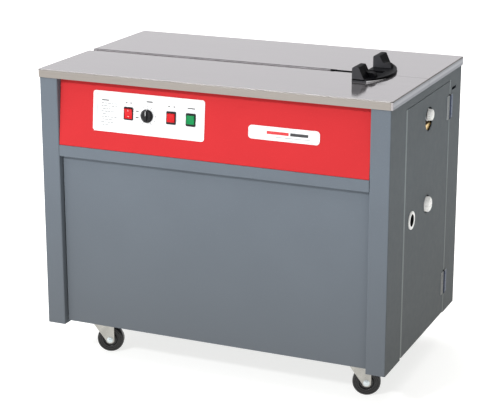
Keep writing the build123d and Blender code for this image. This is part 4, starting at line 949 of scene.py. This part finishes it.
# ---------------------------------------------------------------- finishes by place
# p is a face's centre, in millimetres, and n is its normal, as recolour gives them
side_face = limits("right_side_panel")[1].x
door_low, door_high = limits("side_door")
hinge_y = joints["side_door_swing"]["pos_m"][1] / MM
BARREL_REACH, LEAF_REACH, LEAF_INNER, PIN_REACH = 4.9, 20.9, 6.0, 2.5  # either side of the pin


def off_hinge(p):
    return abs(p.y - hinge_y)


def at_leaf_rim(p, n):
    return off_hinge(p) > LEAF_REACH or (abs(n.z) > 0.9 and off_hinge(p) > LEAF_INNER)


def at_pin(p, n):
    return off_hinge(p) < PIN_REACH and abs(p.x - side_face) < PIN_REACH


# painted light on the hinge leaves, a painted highlight on their rims and painted shade on the barrels
for leaves, paint in (("door_hinge_leaves", door_leaf_painted_light), ("frame_hinge_leaves", frame_leaf_painted_light)):
    nodes[leaves].material_slots[0].material = paint
    recolour(leaves, barrel_painted_shade, lambda p, n: off_hinge(p) < BARREL_REACH)
    recolour(leaves, leaf_rim_painted_highlight, at_leaf_rim)
# the ends of the frame hinge's pin in near-black painted shade
recolour("frame_hinge_leaves", recess_painted_shade, at_pin)

# the right side: its outer faces in a darker, greener copy of the grey coat as painted shade, and its folds in a
# lighter copy as painted highlight
DOOR_FOLD = 7.0
STRIP_FOLD = (179.0, 184.0)


def at_door_fold(p, n):
    return p.y < door_low.y + DOOR_FOLD and 0.15 < -n.y < 0.97 and n.x > 0.1


def at_strip_fold(p, n):
    return STRIP_FOLD[0] < p.y < STRIP_FOLD[1] and n.x > 0.1 and n.y < -0.1


for node in ("right_side_panel", "side_door"):
    recolour(node, side_painted_shade_coat, lambda p, n: n.x > 0.7)
recolour("side_door", fold_painted_highlight, at_door_fold)
recolour("side_door", fold_painted_highlight, lambda p, n: n.z > 0.9 and p.z > door_high.z - 1.0)
recolour("right_side_panel", fold_painted_highlight, at_strip_fold)
# the inside of the finger pull's cup in near-black painted shade
recolour("finger_pull_ring", recess_painted_shade, lambda p, n: p.x < side_face + 0.5)

# the power inlet's three contacts
INLET_X, INLET_Z, CONTACT_BACK = -300.0, 158.0, 275.5
CONTACTS = (-7.0, 0.0, 7.0)


def at_contact(p, n):
    aside = min(abs(p.x - INLET_X - contact) for contact in CONTACTS)
    return aside < 1.2 and abs(p.z - INLET_Z) < 2.2 and p.y < CONTACT_BACK


recolour("power_inlet", finish["yellow_zinc"], at_contact)

# the table: its folded edges and rounded rims in darker copies of the stainless as painted shade, and the wall of
# the channel up to and at the mouth, with painted shade at the mouth
TABLE_HALF_X, TABLE_HALF_Y = 449.5, 279.5
MOUTH_X = (217.0, 293.0)


def at_channel_wall(p, n):
    return -2.0 < p.y < 0.0 and n.y < -0.9 and p.x < MOUTH_X[0]


def at_mouth_wall(p, n):
    return -6.0 < p.y < -2.0 and n.y < -0.9 and MOUTH_X[0] < p.x < MOUTH_X[1]


for node in ("table_front_plate", "table_rear_plate"):
    recolour(node, front_fold_painted_shade, lambda p, n: abs(p.y) > TABLE_HALF_Y and p.z < table_top - 2)
    recolour(node, end_fold_painted_shade_and_bead, lambda p, n: abs(p.x) > TABLE_HALF_X and p.z < table_top - 2)
    recolour(node, rolled_rim_painted_shade, lambda p, n: p.z > table_top - 3 and 0.05 < n.z < 0.995)
recolour("table_rear_plate", channel_wall, at_channel_wall)
recolour("table_rear_plate", mouth_painted_shade, at_mouth_wall)
# the slide table takes the mouth's near-black painted shade; the channel and the pool box take their own finishes
for node, material in (("strap_channel", channel_floor), ("slide_table", mouth_painted_shade),
                       ("strap_pool_box", galvanised_sheet)):
    nodes[node].material_slots[0].material = material

# ---------------------------------------------------------------- floor
FLOOR_RADIUS = 14.0
floor = bmesh.new()
bmesh.ops.create_circle(floor, cap_ends=True, radius=FLOOR_RADIUS, segments=96)
floor_mesh = bpy.data.meshes.new("floor")
floor.to_mesh(floor_mesh)
floor.free()
floor_piece = bpy.data.objects.new("floor", floor_mesh)
scene.collection.objects.link(floor_piece)
tone = Shader(
    "light_table", (0.42, 0.42, 0.42), 0.9, Specular_IOR_Level=0.1, Emission_Strength=0.74,
    Emission_Color=(1.0, 1.0, 0.985, 1.0),
)
tone.paint(tone.mix(tone.noise(2.0, 3.0), (0.41, 0.41, 0.405), (0.43, 0.43, 0.425)))
floor_mesh.materials.append(tone.material)
